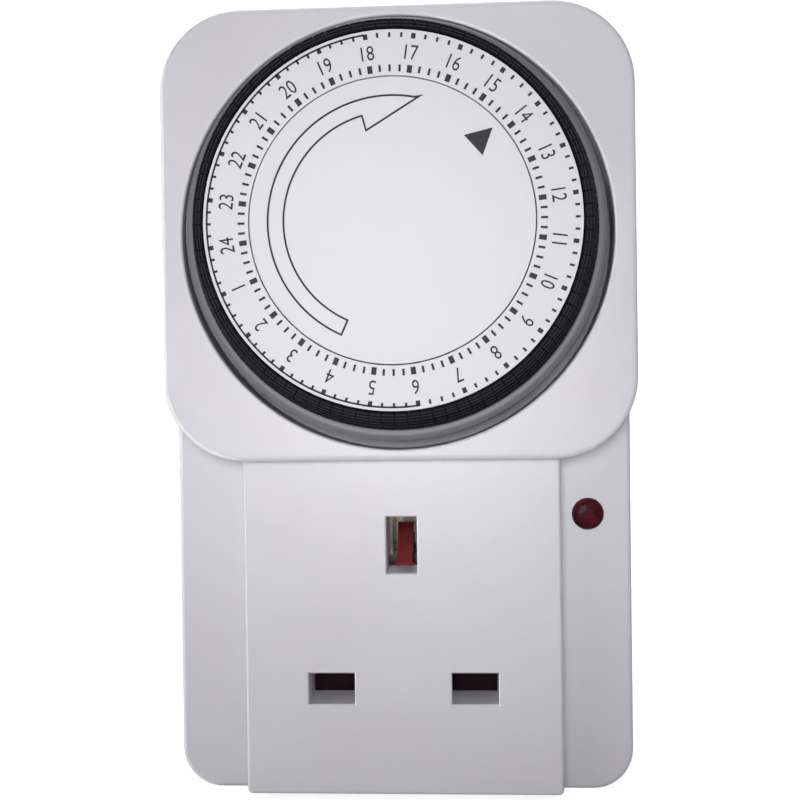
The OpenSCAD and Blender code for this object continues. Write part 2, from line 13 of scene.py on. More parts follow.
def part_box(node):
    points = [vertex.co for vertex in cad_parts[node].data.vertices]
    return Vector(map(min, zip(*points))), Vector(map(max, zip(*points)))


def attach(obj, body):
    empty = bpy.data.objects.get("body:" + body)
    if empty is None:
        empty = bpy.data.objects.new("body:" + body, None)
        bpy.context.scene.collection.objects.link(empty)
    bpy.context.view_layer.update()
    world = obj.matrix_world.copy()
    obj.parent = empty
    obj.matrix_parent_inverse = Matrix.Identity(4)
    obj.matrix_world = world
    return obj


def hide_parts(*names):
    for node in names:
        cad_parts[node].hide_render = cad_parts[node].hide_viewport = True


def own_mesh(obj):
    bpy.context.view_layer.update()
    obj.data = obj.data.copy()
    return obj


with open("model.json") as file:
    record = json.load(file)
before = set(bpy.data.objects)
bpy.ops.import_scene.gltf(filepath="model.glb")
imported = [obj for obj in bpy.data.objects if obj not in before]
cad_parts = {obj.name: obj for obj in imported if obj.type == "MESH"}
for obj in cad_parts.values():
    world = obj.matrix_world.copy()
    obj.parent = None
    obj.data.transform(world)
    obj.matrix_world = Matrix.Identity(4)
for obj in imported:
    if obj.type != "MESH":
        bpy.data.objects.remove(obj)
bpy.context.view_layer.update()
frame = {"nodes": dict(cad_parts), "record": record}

MM = 0.001

# ---- Places taken from the frame ----

cover_low, cover_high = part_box("front_cover")
shell_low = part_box("rear_shell")[0]
ring_low, ring_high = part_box("dial_face")
disc_low, disc_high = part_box("centre_disc")
segment_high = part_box("tripper_01")[1]
lens_low, lens_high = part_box("neon_lens")
slider_low, slider_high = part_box("override_slider")
earth_low, earth_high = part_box("earth_pin")
line_low, line_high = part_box("line_pin")
slots = {opening["name"]: opening["box_m"] for opening in frame["record"]["physics"]["openings"]}

HALF_W = cover_high.x
TOP = cover_high.z
BOTTOM = cover_low.z
BLOCK_FRONT = cover_low.y
SEAM = shell_low.y
DIAL_Z = (ring_low.z + ring_high.z) / 2
DIAL_R = ring_high.x
DISC_R = disc_high.x
DIAL_FRONT = ring_low.y
CENTRE = Vector((0, 0, DIAL_Z))
BLOCK_LOW = 2 * DIAL_Z - TOP
LENS_X = (lens_low.x + lens_high.x) / 2
LENS_Z = (lens_low.z + lens_high.z) / 2
PLATE_FRONT = lens_low.y + 0.9 * MM
OUTLET_FRONT = PLATE_FRONT - 5.5 * MM
OUTLET_LOW = BOTTOM + 1 * MM
OUTLET_HALF = 24.5 * MM
WALL = 2.2 * MM
BLOCK_R = 12.5 * MM
LOWER_R = 6.4 * MM
WELL_R = DIAL_R + 6 * MM
WELL_FLOOR = BLOCK_FRONT + 5.8 * MM
FLOOR_BACK = WELL_FLOOR + 1.2 * MM
TUNNEL = OUTLET_FRONT + 9.8 * MM
TUNNEL_WALL = 1.8 * MM
POST_R = 3.2 * MM
SEAM_RIM = 0.22 * MM
PITCH = 22.2 * MM
HOURS = range(1, 25)
QUARTER = math.radians(3.75)
POINTER = math.radians(41.5)
FIRST_STEP = 1.5 * MM
STEP_RISE = 1.3 / 3 * MM
INK = 0.03 * MM

# How far a cutter runs past what it cuts, and the number of sides of the dial's large circles.
PAST = 1 * MM
ROUND = 192


# ---- Hand tools ----

def alone(piece):
    """Selects one piece and makes it the active one."""
    bpy.ops.object.select_all(action="DESELECT")
    piece.select_set(True)
    bpy.context.view_layer.objects.active = piece
    return piece


def settle(name):
    """Names the new piece and puts its place, turn and size in its mesh."""
    piece = bpy.context.object
    piece.name = name
    piece.data.name = name
    alone(piece)
    bpy.ops.object.transform_apply(location=True, rotation=True, scale=True)
    return piece


def block(name, low, high):
    low = Vector(low)
    high = Vector(high)
    bpy.ops.object.select_all(action="DESELECT")
    bpy.ops.mesh.primitive_cube_add(size=1, location=(low + high) / 2, scale=high - low)
    return settle(name)


def rod(name, x, z, back, front, radius, sides=96):
    """A round bar along Y, from its back to its front."""
    bpy.ops.object.select_all(action="DESELECT")
    bpy.ops.mesh.primitive_cylinder_add(vertices=sides, radius=radius, depth=abs(back - front),
                                        location=(x, (back + front) / 2, z),
                                        rotation=(math.pi / 2, 0, 0))
    return settle(name)


def pick(piece, kind, wanted):
    """Goes into edit mode and selects the corners, edges or faces that pass a test."""
    alone(piece)
    bpy.ops.object.mode_set(mode="EDIT")
    bpy.context.tool_settings.mesh_select_mode = (kind == "VERT", kind == "EDGE", kind == "FACE")
    bpy.ops.mesh.select_all(action="DESELECT")
    mesh = bmesh.from_edit_mesh(piece.data)
    parts = {"VERT": mesh.verts, "EDGE": mesh.edges, "FACE": mesh.faces}[kind]
    for part in parts:
        if wanted(part):
            part.select_set(True)
    mesh.select_flush_mode()
    bmesh.update_edit_mesh(piece.data)


def done():
    bpy.ops.object.mode_set(mode="OBJECT")


def near(a, b, room=1e-6):
    return abs(a - b) < room


def middle(edge):
    return (edge.verts[0].co + edge.verts[1].co) / 2


def runs_along(edge, axis):
    """True for an edge that runs along X, Y or Z, given as 0, 1 or 2."""
    way = edge.verts[0].co - edge.verts[1].co
    return abs(way[axis]) > 0.99 * way.length


def soften(piece, wanted, width, rounds=3):
    """Rounds the edges that pass a test."""
    pick(piece, "EDGE", wanted)
    bpy.ops.mesh.bevel(offset=width, offset_type="OFFSET", segments=rounds, profile=0.5,
                       affect="EDGES", clamp_overlap=True)
    done()


def soften_rim(piece, y, width, rounds=3, inside=None):
    """Rounds the edges that lie in the plane at y, where two faces meet at a sharp angle."""
    def on_rim(edge):
        if not (near(edge.verts[0].co.y, y) and near(edge.verts[1].co.y, y)):
            return False
        if inside and not inside(middle(edge)):
            return False
        return edge.is_manifold and edge.calc_face_angle(0) > 0.8
    soften(piece, on_rim, width, rounds)


def combine(piece, tool, how):
    """Adds a tool's solid to the piece, or cuts it out, and uses the tool up."""
    alone(piece)
    step = piece.modifiers.new("combine", "BOOLEAN")
    step.operation = how
    step.solver = "EXACT"
    step.object = tool
    bpy.ops.object.modifier_apply(modifier=step.name)
    bpy.data.objects.remove(tool)
    return piece


def cut(piece, *tools):
    for tool in tools:
        combine(piece, tool, "DIFFERENCE")
    return piece


def fuse(piece, *tools):
    for tool in tools:
        combine(piece, tool, "UNION")
    return piece


def gather(pieces, name):
    """Joins separate pieces into one mesh."""
    bpy.ops.object.select_all(action="DESELECT")
    for piece in pieces:
        piece.select_set(True)
    bpy.context.view_layer.objects.active = pieces[0]
    bpy.ops.object.join()
    pieces[0].name = name
    pieces[0].data.name = name
    return pieces[0]


def copy_of(piece, name):
    """A copy with a mesh of its own."""
    alone(piece)
    bpy.ops.object.duplicate(linked=False)
    twin = bpy.context.object
    twin.name = name
    twin.data.name = name
    return twin


def turn_about_dial(piece, angle):
    """Turns a piece anticlockwise, as seen from the front, about the dial's centre."""
    move = Matrix.Translation(CENTRE)
    piece.data.transform(move @ Matrix.Rotation(-angle, 4, "Y") @ move.inverted())
    return piece


def smooth(piece, angle=32):
    """Shades by angle, with the large faces leading the normals."""
    alone(piece)
    bpy.ops.object.shade_smooth_by_angle(angle=math.radians(angle))
    step = piece.modifiers.new("normals", "WEIGHTED_NORMAL")
    step.keep_sharp = True
    step.weight = 80
    bpy.ops.object.modifier_apply(modifier=step.name)
    return piece


def on_dial(radius, angle, y=DIAL_FRONT):
    """A point at a radius and an anticlockwise angle on the dial."""
    return Vector((radius * math.cos(angle), y, DIAL_Z + radius * math.sin(angle)))


# ---- Camera ----

def set_camera():
    data = bpy.data.cameras.new("camera")
    camera = bpy.data.objects.new("camera", data)
    bpy.context.scene.collection.objects.link(camera)
    data.lens = 47.43
    data.sensor_width = 36
    data.clip_start = 0.005
    camera.location = (8.576 * MM, -198.784 * MM, 46.015 * MM)
    camera.rotation_euler = Euler([math.radians(turn) for turn in (89.4826, 0.7606, 3.0001)])
    bpy.context.scene.camera = camera


# ---- Finishes ----

def fill(tree, placed, values):
    """Fills a node's sockets, each with a value or from a pair: another node and its output."""
    for socket, value in (values or {}).items():
        if isinstance(value, tuple) and isinstance(value[0], bpy.types.Node):
            tree.links.new(value[0].outputs[value[1]], placed.inputs[socket])
        else:
            placed.inputs[socket].default_value = value
    return placed


def add(tree, kind, values=None, **settings):
    """Places a shader node, sets its options and fills its sockets."""
    placed = tree.nodes.new(kind)
    for option, value in settings.items():
        setattr(placed, option, value)
    return fill(tree, placed, values)


def object_place(tree):
    return add(tree, "ShaderNodeTexCoord"), "Object"


def noise(tree, place, scale, detail, **more):
    values = {"Vector": place, "Scale": scale, "Detail": detail, **more}
    return add(tree, "ShaderNodeTexNoise", values)


def times(tree, first, second):
    return add(tree, "ShaderNodeMath", {0: first, 1: second}, operation="MULTIPLY")


def remap(tree, source, low, high, to_low=0.0, to_high=1.0, **settings):
    """Maps one range of a value onto another."""
    values = {"Value": source, "From Min": low, "From Max": high, "To Min": to_low,
              "To Max": to_high}
    return add(tree, "ShaderNodeMapRange", values, **settings)


def effect(name, inputs, outputs):
    """An empty node group with its named inputs and outputs."""
    tree = bpy.data.node_groups.new(name, "ShaderNodeTree")
    for label, value in inputs.items():
        kind = "NodeSocketColor" if isinstance(value, tuple) else "NodeSocketFloat"
        socket = tree.interface.new_socket(label, in_out="INPUT", socket_type=kind)
        socket.default_value = value
    for label in outputs:
        tree.interface.new_socket(label, in_out="OUTPUT", socket_type="NodeSocketFloat")
    return tree, tree.nodes.new("NodeGroupInput"), tree.nodes.new("NodeGroupOutput")


def moulded_grain():
    """The fine spark-eroded grain of a mould, with a little slow waviness under it."""
    tree, enter, leave = effect("moulded grain", {"Scale": 3000.0, "Waves": 0.3}, ["Height"])
    place = object_place(tree)
    fine = noise(tree, place, (enter, "Scale"), 3.0, Roughness=0.6)
    slow = noise(tree, place, 70.0, 1.0)
    share = times(tree, (slow, "Fac"), (enter, "Waves"))
    total = add(tree, "ShaderNodeMath", {0: (fine, "Fac"), 1: (share, 0)}, operation="ADD")
    fill(tree, leave, {"Height": (total, 0)})
    return tree


def handling_marks():
    """Cloudy patches from handling and fine specks of dust, from 0 to 1."""
    tree, enter, leave = effect("handling marks", {"Scale": 60.0, "Specks": 0.3},
                                ["Clouds", "Specks"])
    place = object_place(tree)
    clouds = noise(tree, place, (enter, "Scale"), 6.0, Roughness=0.62, Distortion=0.4)
    spread = remap(tree, (clouds, "Fac"), 0.3, 0.7)
    grit = noise(tree, place, 1900.0, 2.0)
    sparse = remap(tree, (grit, "Fac"), 0.66, 0.78)
    share = times(tree, (sparse, "Result"), (enter, "Specks"))
    fill(tree, leave, {"Clouds": (spread, "Result"), "Specks": (share, 0)})
    return tree


def edge_wear():
    """A mask that is 1 along rubbed edges, broken up by noise."""
    tree, enter, leave = effect("edge wear", {"Radius": 0.0004, "Breaks": 400.0}, ["Wear"])
    true_face = add(tree, "ShaderNodeNewGeometry")
    rounded = add(tree, "ShaderNodeBevel", {"Radius": (enter, "Radius")}, samples=4)
    match = add(tree, "ShaderNodeVectorMath", {0: (rounded, "Normal"), 1: (true_face, "Normal")},
                operation="DOT_PRODUCT")
    turned = remap(tree, (match, "Value"), 0.995, 0.86)
    breaks = noise(tree, object_place(tree), (enter, "Breaks"), 4.0)
    thinned = remap(tree, (breaks, "Fac"), 0.35, 0.65)
    worn = times(tree, (turned, "Result"), (thinned, "Result"))
    fill(tree, leave, {"Wear": (worn, 0)})
    return tree


def drawn_lines():
    """Fine lines drawn along one axis: the noise is stretched by the three inputs."""
    tree, enter, leave = effect("drawn lines", {"Across X": 3000.0, "Across Y": 3000.0,
                                                "Across Z": 3000.0}, ["Lines"])
    stretch = add(tree, "ShaderNodeCombineXYZ",
                  {axis: (enter, "Across " + axis) for axis in "XYZ"})
    spread = add(tree, "ShaderNodeVectorMath", {0: object_place(tree), 1: (stretch, 0)},
                 operation="MULTIPLY")
    lines = noise(tree, (spread, 0), 1.0, 4.0, Roughness=0.65)
    fill(tree, leave, {"Lines": (lines, "Fac")})
    return tree


def dial_reach(tree):
    """The distance from the dial's axis, and the place from its centre split into X, Y and Z."""
    centred = add(tree, "ShaderNodeVectorMath", {0: object_place(tree), 1: CENTRE},
                  operation="SUBTRACT")
    split = add(tree, "ShaderNodeSeparateXYZ", {0: (centred, 0)})
    across = add(tree, "ShaderNodeCombineXYZ", {"X": (split, "X"), "Z": (split, "Z")})
    reach = add(tree, "ShaderNodeVectorMath", {0: (across, 0)}, operation="LENGTH")
    return (reach, "Value"), split


def turned_rings():
    """Rings round the dial's axis, as a lathe or a mould cut on one leaves them."""
    tree, enter, leave = effect("turned rings", {"Scale": 2500.0}, ["Rings"])
    reach, split = dial_reach(tree)
    polar = add(tree, "ShaderNodeCombineXYZ", {"X": reach, "Y": (split, "Y")})
    spread = add(tree, "ShaderNodeVectorMath", {0: (polar, 0), "Scale": (enter, "Scale")},
                 operation="SCALE")
    rings = noise(tree, (spread, 0), 1.0, 3.0, Roughness=0.6)
    fill(tree, leave, {"Rings": (rings, "Fac")})
    return tree


GRAIN = moulded_grain()
MARKS = handling_marks()
WEAR = edge_wear()
LINES = drawn_lines()
RINGS = turned_rings()


def place_effect(tree, effect_tree, values):
    placed = tree.nodes.new("ShaderNodeGroup")
    placed.node_tree = effect_tree
    return fill(tree, placed, values)


def blend_colours(tree, below, above, share, output=0):
    """Mixes two colours by a mask; a colour is four numbers or a node that mixed one before."""
    pair = [colour if isinstance(colour, tuple) else (colour, 2) for colour in (below, above)]
    return add(tree, "ShaderNodeMix", {0: (share, output), 6: pair[0], 7: pair[1]},
               data_type="RGBA")


def between(tree, source, output, low, high):
    """Maps a value from 0 to 1 onto a range."""
    return remap(tree, (source, output), 0.0, 1.0, low, high)


def shaded(colour, factor):
    return tuple(min(1, part * factor) for part in colour[:3]) + (1,)


def new_finish(name):
    finish = bpy.data.materials.new(name)
    finish.use_nodes = True
    tree = finish.node_tree
    return finish, tree, tree.nodes["Principled BSDF"]


def lay_on(tree, skin, colour, gloss, relief=None):
    """Wires a colour, a range of roughness and a relief into the shader.

    The gloss is a node, its output and the lowest and highest roughness; the relief is a node,
    its output, a strength and a depth.
    """
    fill(tree, skin, {"Base Color": (colour, 2), "Roughness": (between(tree, *gloss), "Result")})
    if relief:
        source, output, strength, depth = relief
        bump = add(tree, "ShaderNodeBump", {"Height": (source, output), "Strength": strength,
                                            "Distance": depth})
        fill(tree, skin, {"Normal": (bump, "Normal")})


def plastic(name, colour, rough=0.4, variation=0.06, grain=3000.0, depth=0.2, wear=0.35,
            worn=None, specks=0.25, clouds=60.0, tint=None, specular=0.5, rim=0.35 * MM):
    """Moulded plastic: cloudy colour, rubbed edges, dust specks and a fine mould grain."""
    finish, tree, skin = new_finish(name)
    base = tuple(colour) + (1,)
    marks = place_effect(tree, MARKS, {"Scale": clouds, "Specks": specks})
    rubbed = place_effect(tree, WEAR, {"Radius": rim, "Breaks": 350.0})
    fine = place_effect(tree, GRAIN, {"Scale": grain, "Waves": 0.35})
    patchy = blend_colours(tree, shaded(base, 1 - variation), tint or shaded(base, 1 + variation),
                           marks, "Clouds")
    edged = between(tree, rubbed, "Wear", 0.0, wear)
    rubbed_colour = blend_colours(tree, patchy, worn or shaded(base, 1.25), edged)
    dusty = blend_colours(tree, rubbed_colour, shaded(base, 0.6), marks, "Specks")
    lay_on(tree, skin, dusty, (marks, "Clouds", rough * 0.85, rough * 1.2),
           (fine, "Height", depth, 0.05 * MM))
    skin.inputs["IOR"].default_value = 1.5
    skin.inputs["Specular IOR Level"].default_value = specular
    return finish


def metal(name, colour, rough=0.28, across=(400.0, 4000.0, 4000.0), tarnish=0.25, depth=0.15,
          patches=220.0):
    """Drawn or stamped metal: lines, tarnished patches and brighter rubbed edges."""
    finish, tree, skin = new_finish(name)
    base = tuple(colour) + (1,)
    marks = place_effect(tree, MARKS, {"Scale": patches, "Specks": 0.2})
    rubbed = place_effect(tree, WEAR, {"Radius": 0.2 * MM, "Breaks": 900.0})
    lines = place_effect(tree, LINES, dict(zip(("Across X", "Across Y", "Across Z"), across)))
    dull = between(tree, marks, "Clouds", 0.0, tarnish)
    patchy = blend_colours(tree, base, shaded(base, 0.45), dull)
    edged = blend_colours(tree, patchy, shaded(base, 1.25), rubbed, "Wear")
    lay_on(tree, skin, edged, (marks, "Clouds", rough * 0.9, rough * 1.15),
           (lines, "Lines", depth, 0.03 * MM))
    skin.inputs["Metallic"].default_value = 1.0
    return finish


def ringed_plastic(name, colour, rough):
    """Satin plastic of the drum, with faint rings round the dial's axis."""
    finish, tree, skin = new_finish(name)
    base = tuple(colour) + (1,)
    marks = place_effect(tree, MARKS, {"Scale": 90.0, "Specks": 0.3})
    rings = place_effect(tree, RINGS, {"Scale": 3800.0})
    rubbed = place_effect(tree, WEAR, {"Radius": 0.3 * MM, "Breaks": 300.0})
    patchy = blend_colours(tree, shaded(base, 0.9), shaded(base, 1.08), marks, "Clouds")
    lined = between(tree, rings, "Rings", 0.0, 0.35)
    turned = blend_colours(tree, patchy, shaded(base, 1.3), lined)
    edged = blend_colours(tree, turned, shaded(base, 1.2), rubbed, "Wear")
    lay_on(tree, skin, edged, (rings, "Rings", rough * 0.8, rough * 1.25),
           (rings, "Rings", 0.25, 0.03 * MM))
    return finish


def shutter_plastic(name, colour, highlight_and_wear, rough):
    """Dark plastic whose middle, where the ramp is, is painted lighter, most towards its foot: a
    painted highlight, with scratches from plugs across it.
    """
    finish, tree, skin = new_finish(name)
    base = tuple(colour) + (1,)
    split = add(tree, "ShaderNodeSeparateXYZ", {0: object_place(tree)})
    side = add(tree, "ShaderNodeMath", {0: (split, "X")}, operation="ABSOLUTE")
    on_ramp = remap(tree, (side, 0), 5 * MM, 3.5 * MM)
    at_foot = remap(tree, (split, "Z"), PITCH + 4 * MM, PITCH - 4 * MM, 0.25, 1.0)
    painted_ramp_highlight = times(tree, (on_ramp, "Result"), (at_foot, "Result"))
    marks = place_effect(tree, MARKS, {"Scale": 150.0, "Specks": 0.3})
    rubbed = place_effect(tree, WEAR, {"Radius": 0.3 * MM, "Breaks": 500.0})
    scratches = place_effect(tree, LINES, {"Across X": 3500.0, "Across Y": 350.0,
                                           "Across Z": 350.0})
    patchy = blend_colours(tree, shaded(base, 0.8), shaded(base, 1.2), marks, "Clouds")
    lined = blend_colours(tree, shaded(highlight_and_wear, 0.75), shaded(highlight_and_wear, 1.2), scratches, "Lines")
    toned = blend_colours(tree, patchy, lined, painted_ramp_highlight)
    edged = blend_colours(tree, toned, shaded(highlight_and_wear, 1.1), rubbed, "Wear")
    lay_on(tree, skin, edged, (marks, "Clouds", rough * 0.85, rough * 1.2),
           (scratches, "Lines", 0.2, 0.04 * MM))
    skin.inputs["Specular IOR Level"].default_value = 0.12
    return finish


def clear_plastic(name, colour, rough, through):
    """Clear coloured plastic or glass, with a little haze."""
    finish, tree, skin = new_finish(name)
    base = tuple(colour) + (1,)
    marks = place_effect(tree, MARKS, {"Scale": 500.0, "Specks": 0.2})
    fine = place_effect(tree, GRAIN, {"Scale": 1200.0, "Waves": 0.5})
    patchy = blend_colours(tree, shaded(base, 0.75), shaded(base, 1.3), marks, "Clouds")
    lay_on(tree, skin, patchy, (marks, "Clouds", rough * 0.6, rough * 1.6),
           (fine, "Height", 0.1, 0.03 * MM))
    skin.inputs["IOR"].default_value = 1.49
    skin.inputs["Transmission Weight"].default_value = through
    return finish


def printed_card(name, colour, rough):
    """Smooth white face of the dial: faint fibres, cloudy patches and specks of dust."""
    finish, tree, skin = new_finish(name)
    base = tuple(colour) + (1,)
    marks = place_effect(tree, MARKS, {"Scale": 45.0, "Specks": 0.12})
    fine = place_effect(tree, GRAIN, {"Scale": 5200.0, "Waves": 0.2})
    patchy = blend_colours(tree, shaded(base, 0.965), shaded(base, 1.02), marks, "Clouds")
    dusty = blend_colours(tree, patchy, shaded(base, 0.7), marks, "Specks")
    lay_on(tree, skin, dusty, (marks, "Clouds", rough * 0.85, rough * 1.15),
           (fine, "Height", 0.12, 0.03 * MM))
    return finish


def tone_over(finish, colour, mask):
    """Lays a colour over a finish by a mask."""
    tree = finish.node_tree
    skin = tree.nodes["Principled BSDF"]
    clean = skin.inputs["Base Color"].links[0].from_node
    fill(tree, skin, {"Base Color": (blend_colours(tree, clean, colour, mask), 2)})
    return finish


def pale_rims(finish):
    """Paints a white highlight on the rounded rims that face down and to the left, as if a light
    there caught them.
    """
    tree = finish.node_tree
    face = add(tree, "ShaderNodeNewGeometry")
    match = add(tree, "ShaderNodeVectorMath", {0: (face, "Normal"), 1: (-0.7, -0.6, -0.39)},
                operation="DOT_PRODUCT")
    return tone_over(finish, (1, 1, 1, 1), remap(tree, (match, "Value"), 0.72, 0.82))


def ridge_lines(finish, colour):
    """Paints a pale line along the outer edge of each step of the segments: a painted highlight on
    the step edges.
    """
    tree = finish.node_tree
    first = DIAL_R + FIRST_STEP
    steps = remap(tree, dial_reach(tree)[0], first - STEP_RISE, first, clamp=False)
    part = add(tree, "ShaderNodeMath", {0: (steps, "Result")}, operation="FRACT")
    return tone_over(finish, colour, remap(tree, (part, 0), 0.62, 0.75))


def groove_shade(finish):
    """Paints shade into the deep groove round the dial, darker the deeper it goes."""
    tree = finish.node_tree
    reach, split = dial_reach(tree)
    inside = remap(tree, reach, WELL_R + 1.0 * MM, WELL_R + 0.2 * MM)
    deep = remap(tree, (split, "Y"), BLOCK_FRONT + 0.35 * MM, BLOCK_FRONT + 2.6 * MM)
    both = times(tree, (inside, "Result"), (deep, "Result"))
    return tone_over(finish, (0.15, 0.15, 0.165, 1), both)


def faceted_lens(name, dark, bright, rough):
    """Clear red plastic whose patches of darker and lighter red are a painted reflection of its
    facets.
    """
    finish, tree, skin = new_finish(name)
    facets = add(tree, "ShaderNodeTexVoronoi", {"Vector": object_place(tree), "Scale": 950.0,
                                                "Randomness": 0.75})
    tone = add(tree, "ShaderNodeSeparateColor", {"Color": (facets, "Color")})
    marks = place_effect(tree, MARKS, {"Scale": 600.0, "Specks": 0.15})
    rubbed = place_effect(tree, WEAR, {"Radius": 0.12 * MM, "Breaks": 900.0})
    painted_facet_light = blend_colours(tree, dark, bright, tone, 0)
    hazed = between(tree, marks, "Clouds", 0.0, 0.35)
    patchy = blend_colours(tree, painted_facet_light, shaded(dark, 0.6), hazed)
    rim_share = between(tree, rubbed, "Wear", 0.0, 0.4)
    edged = blend_colours(tree, patchy, shaded(bright, 1.5), rim_share)
    lay_on(tree, skin, edged, (marks, "Clouds", rough * 0.7, rough * 1.5))
    skin.inputs["IOR"].default_value = 1.49
    skin.inputs["Transmission Weight"].default_value = 0.1
    skin.inputs["Specular IOR Level"].default_value = 0.1
    return finish


def white_shell(name):
    """The housing's cool white; its paler rubbed rims are partly wear and partly a painted
    highlight.
    """
    return plastic(name, (0.70, 0.69, 0.735), rough=0.36, variation=0.025, grain=2600.0,
                   depth=0.22, wear=0.6, worn=(0.9, 0.9, 0.92, 1), specks=0.1, clouds=32.0,
                   tint=(0.72, 0.72, 0.75, 1))


# cover_white and dial_ink are the visual model's own; the other names are the record's slots.
FINISHES = {
    "housing_white": white_shell("housing_white"),
    # cover_white carries painted shade in the groove round the dial and a painted highlight on the
    # rims that face down and to the left.
    "cover_white": pale_rims(groove_shade(white_shell("cover_white"))),
    "chassis_cream": plastic("chassis_cream", (0.62, 0.58, 0.48), rough=0.5),
    "dial_white": printed_card("dial_white", (0.66, 0.66, 0.675), 0.6),
    "dial_ink": plastic("dial_ink", (0.032, 0.032, 0.04), rough=0.6, variation=0.2, depth=0.05,
                        specular=0.25),
    "spring_steel": metal("spring_steel", (0.56, 0.57, 0.6), rough=0.25),
    "pin_brass": metal("pin_brass", (0.78, 0.65, 0.4), rough=0.26, across=(4000.0, 300.0, 4000.0),
                       tarnish=0.06, patches=60.0),
    "sleeve_black": plastic("sleeve_black", (0.02, 0.02, 0.022), rough=0.42,
                            worn=(0.1, 0.1, 0.1, 1)),
    "contact_brass": metal("contact_brass", (0.66, 0.6, 0.52), rough=0.2),
    "switch_black": plastic("switch_black", (0.025, 0.025, 0.03), rough=0.4,
                            worn=(0.1, 0.1, 0.1, 1)),
    "motor_steel": metal("motor_steel", (0.6, 0.6, 0.6), rough=0.35),
    "coil_copper": plastic("coil_copper", (0.42, 0.15, 0.06), rough=0.35),
    # The lens's patches of darker and lighter red are a painted reflection of its facets.
    "lens_red": faceted_lens("lens_red", (0.008, 0.0008, 0.002, 1), (0.13, 0.01, 0.018, 1), 0.3),
    "lamp_glass": clear_plastic("lamp_glass", (0.9, 0.75, 0.6), 0.05, 0.9),
    "resistor_tan": plastic("resistor_tan", (0.55, 0.4, 0.22), rough=0.35),
    "lead_brown": plastic("lead_brown", (0.16, 0.07, 0.03), rough=0.4),
    "lead_black": plastic("lead_black", (0.02, 0.02, 0.02), rough=0.4),
    "screw_steel": metal("screw_steel", (0.5, 0.5, 0.52), rough=0.3,
                         across=(4000.0, 4000.0, 400.0)),
    "drum_grey": ringed_plastic("drum_grey", (0.15, 0.15, 0.16), 0.42),
    # The second red is a painted highlight on the shutter's ramp and the colour of its rubbed
    # edges.
    "shutter_red": shutter_plastic("shutter_red", (0.018, 0.003, 0.008), (0.3, 0.045, 0.05), 0.5),
    "lever_cream": plastic("lever_cream", (0.66, 0.62, 0.5), rough=0.45),
    "button_red": plastic("button_red", (0.45, 0.03, 0.025), rough=0.4),
    "slider_red": plastic("slider_red", (0.52, 0.05, 0.03), rough=0.36, worn=(0.65, 0.12, 0.08, 1)),
    "gear_cream": plastic("gear_cream", (0.7, 0.64, 0.48), rough=0.42),
    # The pale line on each step of the segments is a painted highlight.
    "segment_black": ridge_lines(
        plastic("segment_black", (0.003, 0.0033, 0.0045), rough=0.7, variation=0.25, depth=0.2,
                wear=0.5, worn=(0.05, 0.052, 0.06, 1), specks=0.04, specular=0.12, rim=0.12 * MM),
        (0.03, 0.032, 0.038, 1)),
}


def dress(piece, finish, body, *nodes):
    """Gives a finished piece its material and the body it rides on, in place of its CAD nodes."""
    piece.data.materials.clear()
    piece.data.materials.append(FINISHES[finish])
    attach(piece, body)
    if nodes:
        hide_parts(*nodes)
    return piece


def dress_frame():
    """Puts the finishes on the CAD nodes that stay."""
    for part in frame["record"]["subparts"]:
        node = frame["nodes"][part["node"]]
        for place in node.material_slots:
            place.material = FINISHES[part["material_slot"]]


# ---- Housing ----

def round_corners(piece, radius, above, below, segments=14):
    """Rounds the corner edges along Y whose height lies between two values."""
    soften(piece, lambda edge: runs_along(edge, 1) and above < middle(edge).z < below,
           radius, segments)


def housing_block(name, low, high, low_r, high_r, rim, back_rim=0.0):
    """A block with rounded corners, a rounded front rim and, if asked, a small back rim."""
    piece = block(name, low, high)
    half = (low[2] + high[2]) / 2
    if low_r:
        round_corners(piece, low_r, low[2] - 1, half)
    if high_r:
        round_corners(piece, high_r, half, high[2] + 1)
    soften_rim(piece, low[1], rim, 4)
    if back_rim:
        soften_rim(piece, high[1], back_rim, 1)
    return piece


def flared_cut(name, low, high, flare):
    """A cutting block whose front end widens, to leave a chamfered rim round the hole."""
    tool = block(name, (low[0], low[1] + flare, low[2]), high)
    size = Vector((high[0] - low[0], 1, high[2] - low[2]))
    pick(tool, "FACE", lambda face: face.normal.y < -0.9)
    wide = ((size.x + 2 * flare) / size.x, 1, (size.z + 2 * flare) / size.z)
    bpy.ops.mesh.extrude_region_move(TRANSFORM_OT_translate={"value": (0, -flare, 0)})
    bpy.ops.transform.resize(value=wide)
    bpy.ops.mesh.extrude_region_move(TRANSFORM_OT_translate={"value": (0, -PAST, 0)})
    done()
    return tool


def well_tool():
    """The round cutter of the dial well, with a rounded rim at the block's face."""
    rim = 0.45 * MM
    tool = rod("well_tool", 0, DIAL_Z, WELL_FLOOR, BLOCK_FRONT + rim, WELL_R, ROUND)
    steps = 4
    pick(tool, "FACE", lambda face: face.normal.y < -0.9)
    reach = WELL_R
    depth = 0
    for step in range(1, steps + 1):
        angle = step / steps * math.pi / 2
        next_reach = WELL_R + rim * (1 - math.cos(angle))
        next_depth = rim * math.sin(angle)
        bpy.ops.mesh.extrude_region_move(
            TRANSFORM_OT_translate={"value": (0, depth - next_depth, 0)})
        grow = next_reach / reach
        bpy.ops.transform.resize(value=(grow, 1, grow))
        reach, depth = next_reach, next_depth
    bpy.ops.mesh.extrude_region_move(TRANSFORM_OT_translate={"value": (0, -2 * MM, 0)})
    done()
    return tool


